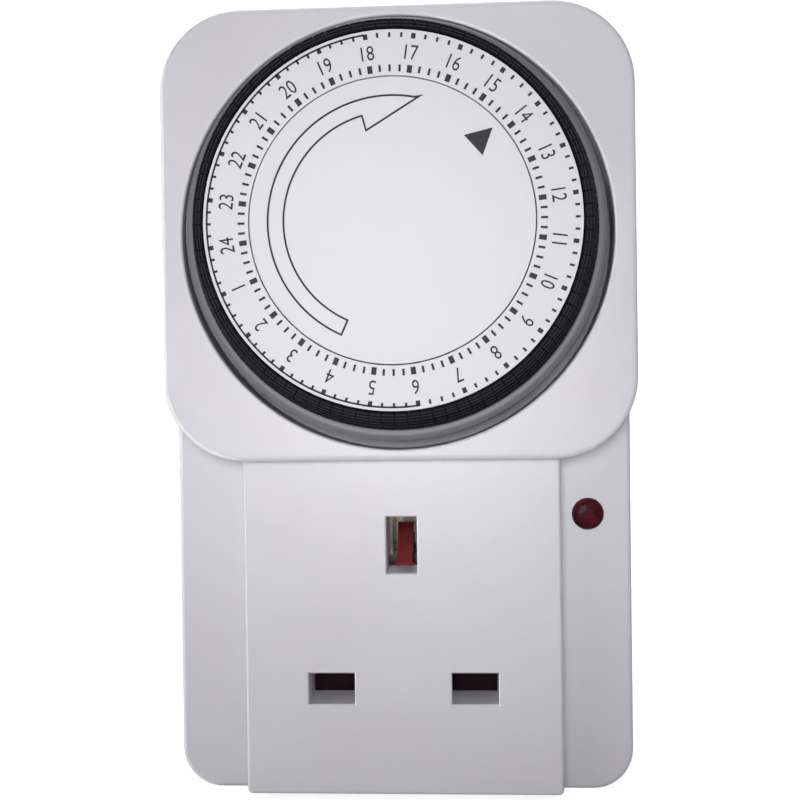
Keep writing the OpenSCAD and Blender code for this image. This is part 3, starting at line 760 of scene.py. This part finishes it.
def cover_cavities():
    """The hollow inside the front cover, as three cutting solids."""
    inner = HALF_W - WALL
    open_back = SEAM + PAST
    low = block("low_cavity", (-inner, PLATE_FRONT + WALL, BOTTOM + WALL),
                (inner, open_back, DIAL_Z))
    round_corners(low, LOWER_R - WALL, -1, 0)
    high = block("high_cavity", (-inner, BLOCK_FRONT + WALL, BLOCK_LOW + WALL),
                 (inner, open_back + 0.2 * MM, TOP - WALL))
    round_corners(high, BLOCK_R - WALL, -1, 1)
    cut(high, rod("well_wall", 0, DIAL_Z, FLOOR_BACK, BLOCK_FRONT - PAST, WELL_R + 1.8 * MM, ROUND))
    cut(high, block("plate_back", (-1, PLATE_FRONT + WALL, BLOCK_LOW - 1),
                    (1, -1, BLOCK_LOW + 2.4 * MM)))
    outlet = block("outlet_cavity", (WALL - OUTLET_HALF, OUTLET_FRONT + WALL, OUTLET_LOW + WALL),
                   (OUTLET_HALF - WALL, open_back + 0.4 * MM, BLOCK_LOW - WALL))
    for near_corner, far_corner in slots.values():
        cut(outlet, block("shroud", (near_corner[0] - TUNNEL_WALL, OUTLET_FRONT,
                                     near_corner[2] - TUNNEL_WALL),
                          (far_corner[0] + TUNNEL_WALL, TUNNEL, far_corner[2] + TUNNEL_WALL)))
    return low, high, outlet


def screw_places():
    """The four housing screws, as X and Z."""
    return ([(side * (HALF_W - 7 * MM), BOTTOM + 6.4 * MM) for side in (-1, 1)]
            + [(side * (HALF_W - 9.5 * MM), TOP - 7.4 * MM) for side in (-1, 1)])


def front_cover():
    """The white front: dial block, lower plate and outlet block as one moulding, hollow inside."""
    piece = housing_block("front_cover", (-HALF_W, BLOCK_FRONT, BLOCK_LOW), (HALF_W, SEAM, TOP),
                          BLOCK_R, BLOCK_R, 0.9 * MM, SEAM_RIM)
    plate = housing_block("plate", (-HALF_W, PLATE_FRONT, BOTTOM), (HALF_W, SEAM, DIAL_Z),
                          LOWER_R, 0, 0.8 * MM, SEAM_RIM)
    outlet = housing_block("outlet", (-OUTLET_HALF, OUTLET_FRONT, OUTLET_LOW),
                           (OUTLET_HALF, PLATE_FRONT + PAST, BLOCK_LOW + 8 * MM),
                           0.8 * MM, 0, 0.55 * MM)
    fuse(piece, plate, outlet)
    cut(piece, *cover_cavities())
    for x, z in screw_places():
        front = PLATE_FRONT if z < BLOCK_LOW else BLOCK_FRONT
        post = rod("post", x, z, SEAM, front + 0.5 * MM, POST_R, 32)
        fuse(piece, post)
        cut(piece, rod("screw_hole", x, z, SEAM + PAST, SEAM - 11 * MM, 1.4 * MM, 24))
    cut(piece, well_tool())
    cut(piece, rod("floor_opening", 0, DIAL_Z, FLOOR_BACK + PAST, WELL_FLOOR - PAST,
                   DIAL_R - 2.2 * MM, ROUND))
    nose = on_dial(DIAL_R + 1.7 * MM, POINTER)
    window = Vector((2.7 * MM, 0, 2.7 * MM))
    cut(piece, block("lever_window", nose - window + Vector((0, WELL_FLOOR - PAST - nose.y, 0)),
                     nose + window + Vector((0, FLOOR_BACK + PAST - nose.y, 0))))
    end_room, side_room, slot_chamfer = 0.3 * MM, 0.25 * MM, 0.22 * MM
    for name, (low, high) in slots.items():
        upright = name == "earth_slot"
        room_x, room_z = (side_room, end_room) if upright else (end_room, side_room)
        cut(piece, flared_cut(name, (low[0] - room_x, OUTLET_FRONT, low[2] - room_z),
                              (high[0] + room_x, TUNNEL + PAST, high[2] + room_z), slot_chamfer))
    cut(piece, rod("lens_hole", LENS_X, LENS_Z, PLATE_FRONT + WALL + PAST, PLATE_FRONT - PAST,
                   2.52 * MM, 48))
    slider_y = (slider_low.y + slider_high.y) / 2
    slot_half = 1.8 * MM
    cut(piece, block("slider_slot",
                     (HALF_W - WALL - PAST, slider_y - slot_half, slider_low.z + 1.7 * MM),
                     (HALF_W + PAST, slider_y + slot_half, slider_high.z + 2.7 * MM)))
    smooth(piece)
    dress(piece, "cover_white", "housing", "front_cover")


def rear_shell():
    """The back half, with the pins' seats and holes, and bosses for the screws."""
    piece = block("rear_shell", (-HALF_W, SEAM, BOTTOM), (HALF_W, 0, TOP))
    round_corners(piece, LOWER_R, BOTTOM - 1, 0)
    round_corners(piece, BLOCK_R, 0, TOP + 1)
    soften_rim(piece, 0, 0.9 * MM, 4)
    soften_rim(piece, SEAM, SEAM_RIM, 1)
    inner = block("shell_cavity", (WALL - HALF_W, SEAM - PAST, BOTTOM + WALL),
                  (HALF_W - WALL, -WALL, TOP - WALL))
    round_corners(inner, LOWER_R - WALL, BOTTOM - 1, 0)
    round_corners(inner, BLOCK_R - WALL, 0, TOP + 1)
    cut(piece, inner)
    # Middle in X and Z, then half width, half height and height off the wall in millimetres.
    seats = [(-PITCH / 2, 0, 6.7, 5, 10.5), (PITCH / 2, 0, 6.7, 5, 16), (0, PITCH, 5, 6.5, 10.5)]
    for x, z, half_w, half_h, front in seats:
        fuse(piece, block("seat", (x - half_w * MM, -front * MM, z - half_h * MM),
                          (x + half_w * MM, -PAST, z + half_h * MM)))
    for x, z in screw_places():
        fuse(piece, rod("boss", x, z, -PAST, SEAM, POST_R, 32))
        cut(piece, rod("screw_bore", x, z, PAST, SEAM - PAST, 1.6 * MM, 24),
            rod("screw_well", x, z, PAST, -2.4 * MM, 2.9 * MM, 32))
    pin_holes = [(-PITCH / 2, 0, 3.2, 2), (PITCH / 2, 0, 3.2, 2), (0, PITCH, 2, 4)]
    for x, z, half_w, half_h in pin_holes:
        cut(piece, block("pin_hole", (x - half_w * MM, SEAM - PAST, z - half_h * MM),
                         (x + half_w * MM, PAST, z + half_h * MM)))
        pocket_w = (half_w + 1.5) * MM
        pocket_h = (half_h + (1.5 if half_h < 3 else 1)) * MM
        cut(piece, block("head_pocket", (x - pocket_w, SEAM - PAST, z - pocket_h),
                         (x + pocket_w, -9 * MM, z + pocket_h)))
    smooth(piece)
    return dress(piece, "housing_white", "housing", "rear_shell")


# ---- Dial ----

def face_ring():
    """The printed ring, with its edges just broken."""
    piece = rod("dial_face", 0, DIAL_Z, ring_high.y, ring_low.y, DIAL_R, ROUND)
    cut(piece, rod("disc_opening", 0, DIAL_Z, ring_high.y + PAST, ring_low.y - PAST,
                   DISC_R + 0.14 * MM, ROUND))
    soften_rim(piece, ring_low.y, 0.12 * MM, 2)
    smooth(piece)
    return dress(piece, "dial_white", "dial", "dial_face")


def centre_disc():
    """The fixed disc on its stem."""
    piece = rod("centre_disc", 0, DIAL_Z, disc_low.y + 1.4 * MM, disc_low.y, DISC_R, ROUND)
    soften_rim(piece, disc_low.y, 0.12 * MM, 2)
    fuse(piece, rod("collar", 0, DIAL_Z, disc_low.y + 2.5 * MM, disc_low.y + PAST, 6.4 * MM),
         rod("stem", 0, DIAL_Z, disc_high.y, disc_low.y + PAST, 1.97 * MM, 48))
    smooth(piece)
    return dress(piece, "dial_white", "housing", "centre_disc")


def tick(name, inner, outer, width):
    """One printed mark at the top of the dial."""
    return block(name, (-width / 2, DIAL_FRONT - INK, DIAL_Z + inner),
                 (width / 2, DIAL_FRONT, DIAL_Z + outer))


def hour_angle(hour):
    """Where an hour's mark stands; the hours run clockwise to the left, past the pointer."""
    return math.radians(97.5 + 15 * (hour - 18))


def dial_marks():
    """Two rows of marks, with four to the hour and the hour's own mark wider."""
    marks = []
    # Inner and outer end as shares of the dial's radius, and the hour mark's width.
    rows = ((0.953, 0.982, 0.62 * MM), (0.774, 0.814, 0.72 * MM))
    for inner, outer, width in rows:
        hour_mark = tick("hour_mark", inner * DIAL_R, outer * DIAL_R, width)
        quarter_mark = tick("quarter_mark", (inner + 0.004) * DIAL_R, outer * DIAL_R, 0.33 * MM)
        for hour in HOURS:
            for quarter in range(4):
                mark = copy_of(quarter_mark if quarter else hour_mark, "mark")
                turn = hour_angle(hour) + quarter * QUARTER - math.pi / 2
                marks.append(turn_about_dial(mark, turn))
        bpy.data.objects.remove(hour_mark)
        bpy.data.objects.remove(quarter_mark)
    return dress(gather(marks, "dial_marks"), "dial_ink", "dial")


def night_line():
    """The thin arc that joins the outer marks from hour 18 round to hour 6."""
    piece = block("night_line", (-0.1 * MM, DIAL_FRONT - INK, DIAL_Z + 0.974 * DIAL_R),
                  (0, DIAL_FRONT, DIAL_Z + 0.984 * DIAL_R))
    pick(piece, "FACE", lambda face: face.normal.x < -0.9)
    bpy.ops.mesh.spin(steps=96, angle=math.pi, center=CENTRE, axis=(0, -1, 0))
    done()
    turn_about_dial(piece, hour_angle(6) - math.pi / 2)
    return dress(piece, "dial_ink", "dial")


def numeral(hour):
    """An hour's number, narrow and upright at the top of the dial, then turned to its place."""
    tall = 2.05 * MM
    bpy.ops.object.select_all(action="DESELECT")
    bpy.ops.object.text_add(location=(0, 0, 0))
    number = bpy.context.object
    number.data.body = str(hour)
    number.data.align_x = "CENTER"
    number.data.align_y = "CENTER"
    number.data.size = 3 * MM
    number.data.extrude = INK / 2
    number.data.resolution_u = 3
    bpy.ops.object.convert(target="MESH")
    number = bpy.context.object
    spots = [corner.co for corner in number.data.vertices]
    low = Vector([min(spot[axis] for spot in spots) for axis in range(3)])
    high = Vector([max(spot[axis] for spot in spots) for axis in range(3)])
    fit = tall / (high.y - low.y)
    number.data.transform(Matrix.Translation(-(low + high) / 2))
    number.data.transform(Matrix.Diagonal((0.8 * fit, fit, 1, 1)))
    number.rotation_euler = (math.pi / 2, 0, 0)
    number.location = (0, DIAL_FRONT - INK / 2, DIAL_Z + 0.881 * DIAL_R)
    settle("numeral")
    return turn_about_dial(number, hour_angle(hour) - math.pi / 2)


def numerals():
    return dress(gather([numeral(hour) for hour in HOURS], "numerals"), "dial_ink", "dial")


def flat_shape(name, corners):
    """A flat face through the given corners, just above the disc, with its front outwards."""
    bpy.ops.object.select_all(action="DESELECT")
    bpy.ops.mesh.primitive_circle_add(vertices=len(corners), radius=1, fill_type="NGON")
    piece = settle(name)
    for corner, place in zip(piece.data.vertices, corners):
        corner.co = place
    return piece


def thicken_ink(piece):
    """Draws a flat shape back onto the face below it, and closes it."""
    pick(piece, "FACE", lambda face: True)
    bpy.ops.mesh.extrude_region_move(TRANSFORM_OT_translate={"value": (0, -INK, 0)})
    bpy.ops.mesh.select_all(action="SELECT")
    bpy.ops.mesh.normals_make_consistent(inside=False)
    done()
    return piece


def direction_arrow():
    """The outlined arrow: a band round the left of the disc that ends in a barbed head."""
    band_out = 17.6 * MM
    band_in = 15.1 * MM
    tail = math.radians(245.8)
    neck = math.radians(105.7)
    shoulder = math.radians(79)
    tip = on_dial(18.05 * MM, math.radians(74.9))
    barb = on_dial(12.9 * MM, neck)
    steps = 56
    shares = [i / steps for i in range(steps + 1)]
    outer = [on_dial(band_out, tail + (shoulder - tail) * share) for share in shares]
    inner = [on_dial(band_in, neck + (tail - neck) * share) for share in shares]
    piece = flat_shape("direction_arrow", outer + [tip, barb] + inner)
    pick(piece, "FACE", lambda face: True)
    bpy.ops.mesh.inset(thickness=0.27 * MM, use_even_offset=True)
    bpy.ops.mesh.delete(type="FACE")
    done()
    return dress(thicken_ink(piece), "dial_ink", "housing")


def time_pointer():
    """The solid triangle that points at the time."""
    base = 15.5 * MM
    half = math.radians(7.2)
    corners = [on_dial(19.0 * MM, POINTER), on_dial(base, POINTER + half),
               on_dial(base, POINTER - half)]
    return dress(thicken_ink(flat_shape("time_pointer", corners)), "dial_ink", "housing")


def segment():
    """One push-down segment at the top of the dial: a head with four ridged steps, and its foot."""
    inner = DIAL_R + 0.2 * MM
    first = DIAL_R + FIRST_STEP
    steps = 4
    tall = 7 * MM
    drop = tall / steps
    half = 0.486 * QUARTER
    back = DIAL_FRONT + tall
    piece = block("segment", (-half * inner, DIAL_FRONT, DIAL_Z + inner),
                  (half * inner, back, DIAL_Z + first))
    for step in range(1, steps):
        level = DIAL_FRONT + step * drop
        pick(piece, "FACE", lambda face: True)
        bpy.ops.mesh.bisect(plane_co=(0, level, 0), plane_no=(0, 1, 0))
        done()
    for step in range(1, steps):
        level = DIAL_FRONT + step * drop
        pick(piece, "FACE",
             lambda face: face.normal.z > 0.9 and face.calc_center_median().y > level)
        bpy.ops.mesh.extrude_region_move(TRANSFORM_OT_translate={"value": (0, 0, STEP_RISE)})
        done()
    for corner in piece.data.vertices:
        corner.co.x *= (corner.co.z - DIAL_Z) / inner
    soften(piece, lambda edge: edge.is_manifold and edge.calc_face_angle(0) > 0.5
           and middle(edge).z > DIAL_Z + inner + 0.1 * MM and middle(edge).y < back - 0.1 * MM,
           0.1 * MM, 1)
    foot_z = DIAL_Z + DIAL_R + 1.7 * MM
    foot = block("foot", (-0.5 * MM, back - 0.05 * MM, foot_z - 0.7 * MM),
                 (0.5 * MM, segment_high.y, foot_z + 0.7 * MM))
    return gather([piece, foot], "segment")


def segments():
    """Ninety-six segments, gathered four to the hour."""
    first = segment()
    smooth(first)
    four = [turn_about_dial(copy_of(first, "segment"), shift * QUARTER)
            for shift in (-1.5, -0.5, 0.5, 1.5)]
    bpy.data.objects.remove(first)
    pattern = gather(four, "hour_pattern")
    for hour in HOURS:
        name = "tripper_%02d" % hour
        piece = turn_about_dial(copy_of(pattern, "segments_%02d" % hour),
                                hour_angle(hour) + 2 * QUARTER - math.pi / 2)
        dress(piece, "segment_black", name, name)
    bpy.data.objects.remove(pattern)


def skirt_rim():
    """The drum's broad rounded rim, just outside the segments."""
    inner = DIAL_R + 2.9 * MM
    outer = DIAL_R + 4.45 * MM
    front = DIAL_FRONT + 7.15 * MM
    back = front + 1.6 * MM
    piece = rod("skirt_rim", 0, DIAL_Z, back, front, outer, ROUND)
    cut(piece, rod("rim_opening", 0, DIAL_Z, back + PAST, front - PAST, inner, ROUND))
    soften_rim(piece, front, 0.9 * MM, 5,
               lambda place: (place - CENTRE).xz.length > inner + 0.5 * MM)
    smooth(piece)
    return dress(piece, "drum_grey", "dial")


# ---- Shutter spring ----

def shutter_spring():
    """The coil under the shutter, fixed to the housing; on the real timer its lower end stays and
    it shortens as the shutter goes down.
    """
    piece = bpy.data.objects.new("shutter_coil", frame["nodes"]["shutter_spring"].data.copy())
    bpy.context.scene.collection.objects.link(piece)
    pick(piece, "VERT", lambda corner: True)
    bpy.ops.mesh.remove_doubles(threshold=0.001 * MM)
    done()
    smooth(piece, 50)
    dress(piece, "spring_steel", "housing", "shutter_spring")
    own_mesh(piece)


# ---- Indicator, pins and slider ----

def indicator_lens():
    """A round collar with a cut crown: a flat table with two rows of facets round it."""
    collar_r = 2.4 * MM
    collar_y = PLATE_FRONT - 0.35 * MM
    piece = rod("neon_lens", LENS_X, LENS_Z, lens_high.y, collar_y, collar_r, 48)
    soften_rim(piece, collar_y, 0.15 * MM, 2)
    smooth(piece)
    fuse(piece, rod("flange", LENS_X, LENS_Z, lens_high.y, lens_high.y - 1.4 * MM, 3.4 * MM, 48))
    crown = rod("crown", LENS_X, LENS_Z, PLATE_FRONT, collar_y, 2.28 * MM, 12)
    pick(crown, "FACE", lambda face: face.normal.y < -0.9)
    tall = lens_low.y - collar_y
    # Each row of facets: how far the table shrinks, and its share of the crown's height.
    for shrink, rise in ((0.72, 0.62), (0.5, 0.38)):
        bpy.ops.mesh.extrude_region_move(TRANSFORM_OT_translate={"value": (0, tall * rise, 0)})
        bpy.ops.transform.resize(value=(shrink, 1, shrink),
                                 center_override=(LENS_X, lens_low.y, LENS_Z))
    done()
    middle_line = Matrix.Translation((LENS_X, 0, LENS_Z))
    crown.data.transform(middle_line @ Matrix.Rotation(math.radians(15), 4, "Y")
                         @ middle_line.inverted())
    return dress(gather([piece, crown], "neon_lens"), "lens_red", "housing", "neon_lens")


def bare_pin(name, x, z, half_w, half_h, length, back_of_head, head_half_w, head_half_h):
    """A flat pin with a chamfered tip and softened edges, on its head."""
    piece = block(name, (x - half_w, -9.05 * MM, z - half_h), (x + half_w, length, z + half_h))
    soften(piece, lambda edge: near(middle(edge).y, length), 0.9 * MM, 3)
    soften(piece, lambda edge: runs_along(edge, 1), 0.25 * MM, 2)
    head = block("head", (x - head_half_w, back_of_head, z - head_half_h),
                 (x + head_half_w, -9 * MM, z + head_half_h))
    soften(head, lambda edge: True, 0.2 * MM, 2)
    return fuse(piece, head)


def pins():
    """The earth pin, and the two live pins with their sleeves."""
    earth = bare_pin("earth_pin", 0, PITCH, 1.95 * MM, 3.95 * MM, earth_high.y,
                     earth_low.y, 3.2 * MM, 4.7 * MM)
    dress(smooth(earth), "pin_brass", "housing", "earth_pin")
    sleeve_low, sleeve_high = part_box("line_sleeve")
    for name, x in (("line", PITCH / 2), ("neutral", -PITCH / 2)):
        pin = bare_pin(name + "_pin", x, 0, 3.15 * MM, 1.95 * MM, line_high.y,
                       line_low.y, 4.4 * MM, 3.2 * MM)
        tray = block("tray", (x - 5 * MM, -5 * MM, -4 * MM),
                     (x + 5 * MM, sleeve_high.y + 0.1 * MM, 4 * MM))
        cut(tray, block("core", (x - 2.35 * MM, -6 * MM, -1.15 * MM),
                        (x + 2.35 * MM, sleeve_high.y + PAST, 1.15 * MM)))
        cut(pin, tray)
        if name == "line":
            fuse(pin, block("tab", (x + 4 * MM, line_low.y, -1.4 * MM),
                            (x + 8.6 * MM, -9 * MM, 1.4 * MM)))
        dress(smooth(pin), "pin_brass", "housing", name + "_pin")
        sleeve = block(name + "_sleeve", (x - 3.15 * MM, sleeve_low.y, -1.95 * MM),
                       (x + 3.15 * MM, sleeve_high.y, 1.95 * MM))
        soften(sleeve, lambda edge: runs_along(edge, 1), 0.25 * MM, 2)
        soften_rim(sleeve, sleeve_high.y, 0.12 * MM, 2)
        cut(sleeve, block("bore", (x - 2.4 * MM, sleeve_low.y - PAST, -1.2 * MM),
                          (x + 2.4 * MM, sleeve_high.y + PAST, 1.2 * MM)))
        dress(smooth(sleeve), "sleeve_black", "housing", name + "_sleeve")


def housing_screws():
    """Four cross-head screws sunk in the back."""
    screws = []
    low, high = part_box("housing_screws")
    for x, z in screw_places():
        screw = rod("screw", x, z, high.y, high.y - 1.8 * MM, 2.6 * MM, 40)
        soften_rim(screw, high.y, 0.45 * MM, 4)
        for turn in (0, 1):
            half = ((1.5 - 1.2 * turn) * MM, (0.3 + 1.2 * turn) * MM)
            cut(screw, block("cross", (x - half[0], high.y - 0.9 * MM, z - half[1]),
                             (x + half[0], high.y + PAST, z + half[1])))
        fuse(screw, rod("shank", x, z, high.y - PAST, low.y, 1.34 * MM, 24))
        screws.append(screw)
    piece = smooth(gather(screws, "housing_screws"))
    return dress(piece, "screw_steel", "housing", "housing_screws")


def override_slider():
    """The slider's ridged knob, its neck through the wall and its plate inside."""
    y = (slider_low.y + slider_high.y) / 2
    half_y = (slider_high.y - slider_low.y) / 2
    z = slider_low.z + 4.5 * MM
    knob_low = HALF_W + 0.3 * MM
    knob = block("override_slider", (knob_low, y - half_y, z - 3.5 * MM),
                 (slider_high.x - 0.5 * MM, y + half_y, z + 3.5 * MM))
    soften(knob, lambda edge: middle(edge).x > knob_low + 0.1 * MM, 0.35 * MM, 3)
    for step in range(-2, 3):
        rib_z = z + step * 1.15 * MM
        rib = block("rib", (knob_low + 0.2 * MM, y - half_y + 0.5 * MM, rib_z - 0.3 * MM),
                    (slider_high.x, y + half_y - 0.5 * MM, rib_z + 0.3 * MM))
        soften(rib, lambda edge: near(middle(edge).x, slider_high.x), 0.2 * MM, 2)
        fuse(knob, rib)
    fuse(knob, block("neck", (HALF_W - WALL - 0.4 * MM, y - 1.5 * MM, z - 2.5 * MM),
                     (knob_low + 0.2 * MM, y + 1.5 * MM, z + 2.5 * MM)),
         block("plate", (slider_low.x, y - half_y, slider_low.z),
               (HALF_W - WALL - 0.3 * MM, y + half_y, slider_high.z)))
    return dress(smooth(knob), "slider_red", "override_slider", "override_slider")


# ---- Studio ----

def pale_paper():
    """Matt white paper that shows brighter to the camera, and brighter still further off."""
    paper = plastic("pale_floor", (0.6, 0.6, 0.61), rough=0.8, variation=0.01, depth=0.05,
                    wear=0.0, specks=0.0)
    tree = paper.node_tree
    seen = add(tree, "ShaderNodeLightPath")
    reach = add(tree, "ShaderNodeVectorMath", {0: object_place(tree)}, operation="LENGTH")
    far = remap(tree, (reach, "Value"), 0.12, 0.4, 0.8, 1.02)
    bright = times(tree, (far, "Result"), (seen, "Is Camera Ray"))
    fill(tree, tree.nodes["Principled BSDF"], {"Emission Color": (1, 1, 1, 1),
                                               "Emission Strength": (bright, 0)})
    return paper


def sweep():
    """A floor of white paper that bends up into a wall behind the timer."""
    floor_z = BOTTOM - 0.02 * MM
    front_y, back_y = -1.4, 0.9
    width, bend, wall = 6, 0.6, 2
    bpy.ops.object.select_all(action="DESELECT")
    bpy.ops.mesh.primitive_plane_add(size=1, location=(0, (front_y + back_y) / 2, floor_z))
    bpy.context.object.scale = (width, back_y - front_y, 1)
    piece = settle("sweep")
    pick(piece, "EDGE", lambda edge: middle(edge).y > back_y - 0.001)
    bpy.ops.mesh.spin(steps=16, angle=math.pi / 2, center=(0, back_y, floor_z + bend),
                      axis=(1, 0, 0))
    bpy.ops.mesh.extrude_region_move(TRANSFORM_OT_translate={"value": (0, 0, wall)})
    done()
    smooth(piece, 40)
    piece.data.materials.append(pale_paper())


# Each lamp's place, what it points at, its size, watts, spread in degrees and colour.
TIMER = (0, -0.03, 0.04)
LAMPS = {
    "key": ((-0.002, -0.235, 0.066), (-0.002, -0.04, 0.062), 0.06, 0.045, 72,
            (1.0, 0.985, 1.0)),
    "low": ((-0.1, -0.42, -0.006), (0, -0.04, 0.04), 0.06, 0.06, 180, (1.0, 0.99, 1.0)),
    "left": ((-0.5, -0.3, 0.2), TIMER, 0.4, 0.72, 180, (1.0, 0.975, 0.98)),
    "right": ((0.45, -0.35, 0.12), TIMER, 0.4, 0.26, 180, (0.97, 0.97, 1.0)),
    "sweep_left": ((-0.7, 0.5, 0.5), (-0.3, 1.4, 0.1), 0.6, 9.0, 140, (1.0, 1.0, 1.0)),
    "sweep_right": ((0.7, 0.5, 0.5), (0.3, 1.4, 0.1), 0.6, 9.0, 140, (1.0, 1.0, 1.0)),
    "top": ((0, 0.35, 0.75), (0, 0.35, 0), 0.6, 3.0, 130, (1.0, 1.0, 1.0)),
    "back_left": ((0.45, 0.5, 0.4), (0, 0, 0.04), 0.3, 4.4, 90, (1.0, 0.99, 0.98)),
    "back_right": ((-0.5, 0.55, 0.2), (0, 0, 0.04), 0.3, 2.6, 90, (0.98, 0.98, 1.0)),
}


def light_studio():
    """Sets the lamps, and a sky that is dim to all but the camera."""
    for name, (place, target, size, power, spread, colour) in LAMPS.items():
        data = bpy.data.lights.new(name, "AREA")
        data.size = size
        data.energy = power
        data.color = colour
        data.spread = math.radians(spread)
        lamp = bpy.data.objects.new(name, data)
        bpy.context.scene.collection.objects.link(lamp)
        lamp.location = place
        way = Vector(target) - Vector(place)
        lamp.rotation_euler = way.to_track_quat("-Z", "Y").to_euler()
    world = bpy.data.worlds.new("pale_sky")
    bpy.context.scene.world = world
    world.use_nodes = True
    tree = world.node_tree
    bright = between(tree, add(tree, "ShaderNodeLightPath"), "Is Camera Ray", 0.15, 1.0)
    fill(tree, tree.nodes["Background"], {"Color": (1, 1, 1, 1), "Strength": (bright, "Result")})
    bpy.context.scene.view_settings.view_transform = "Standard"


set_camera()
dress_frame()
front_cover()
rear_shell()
face_ring()
centre_disc()
dial_marks()
night_line()
numerals()
direction_arrow()
time_pointer()
segments()
skirt_rim()
shutter_spring()
indicator_lens()
pins()
housing_screws()
override_slider()
sweep()
light_studio()
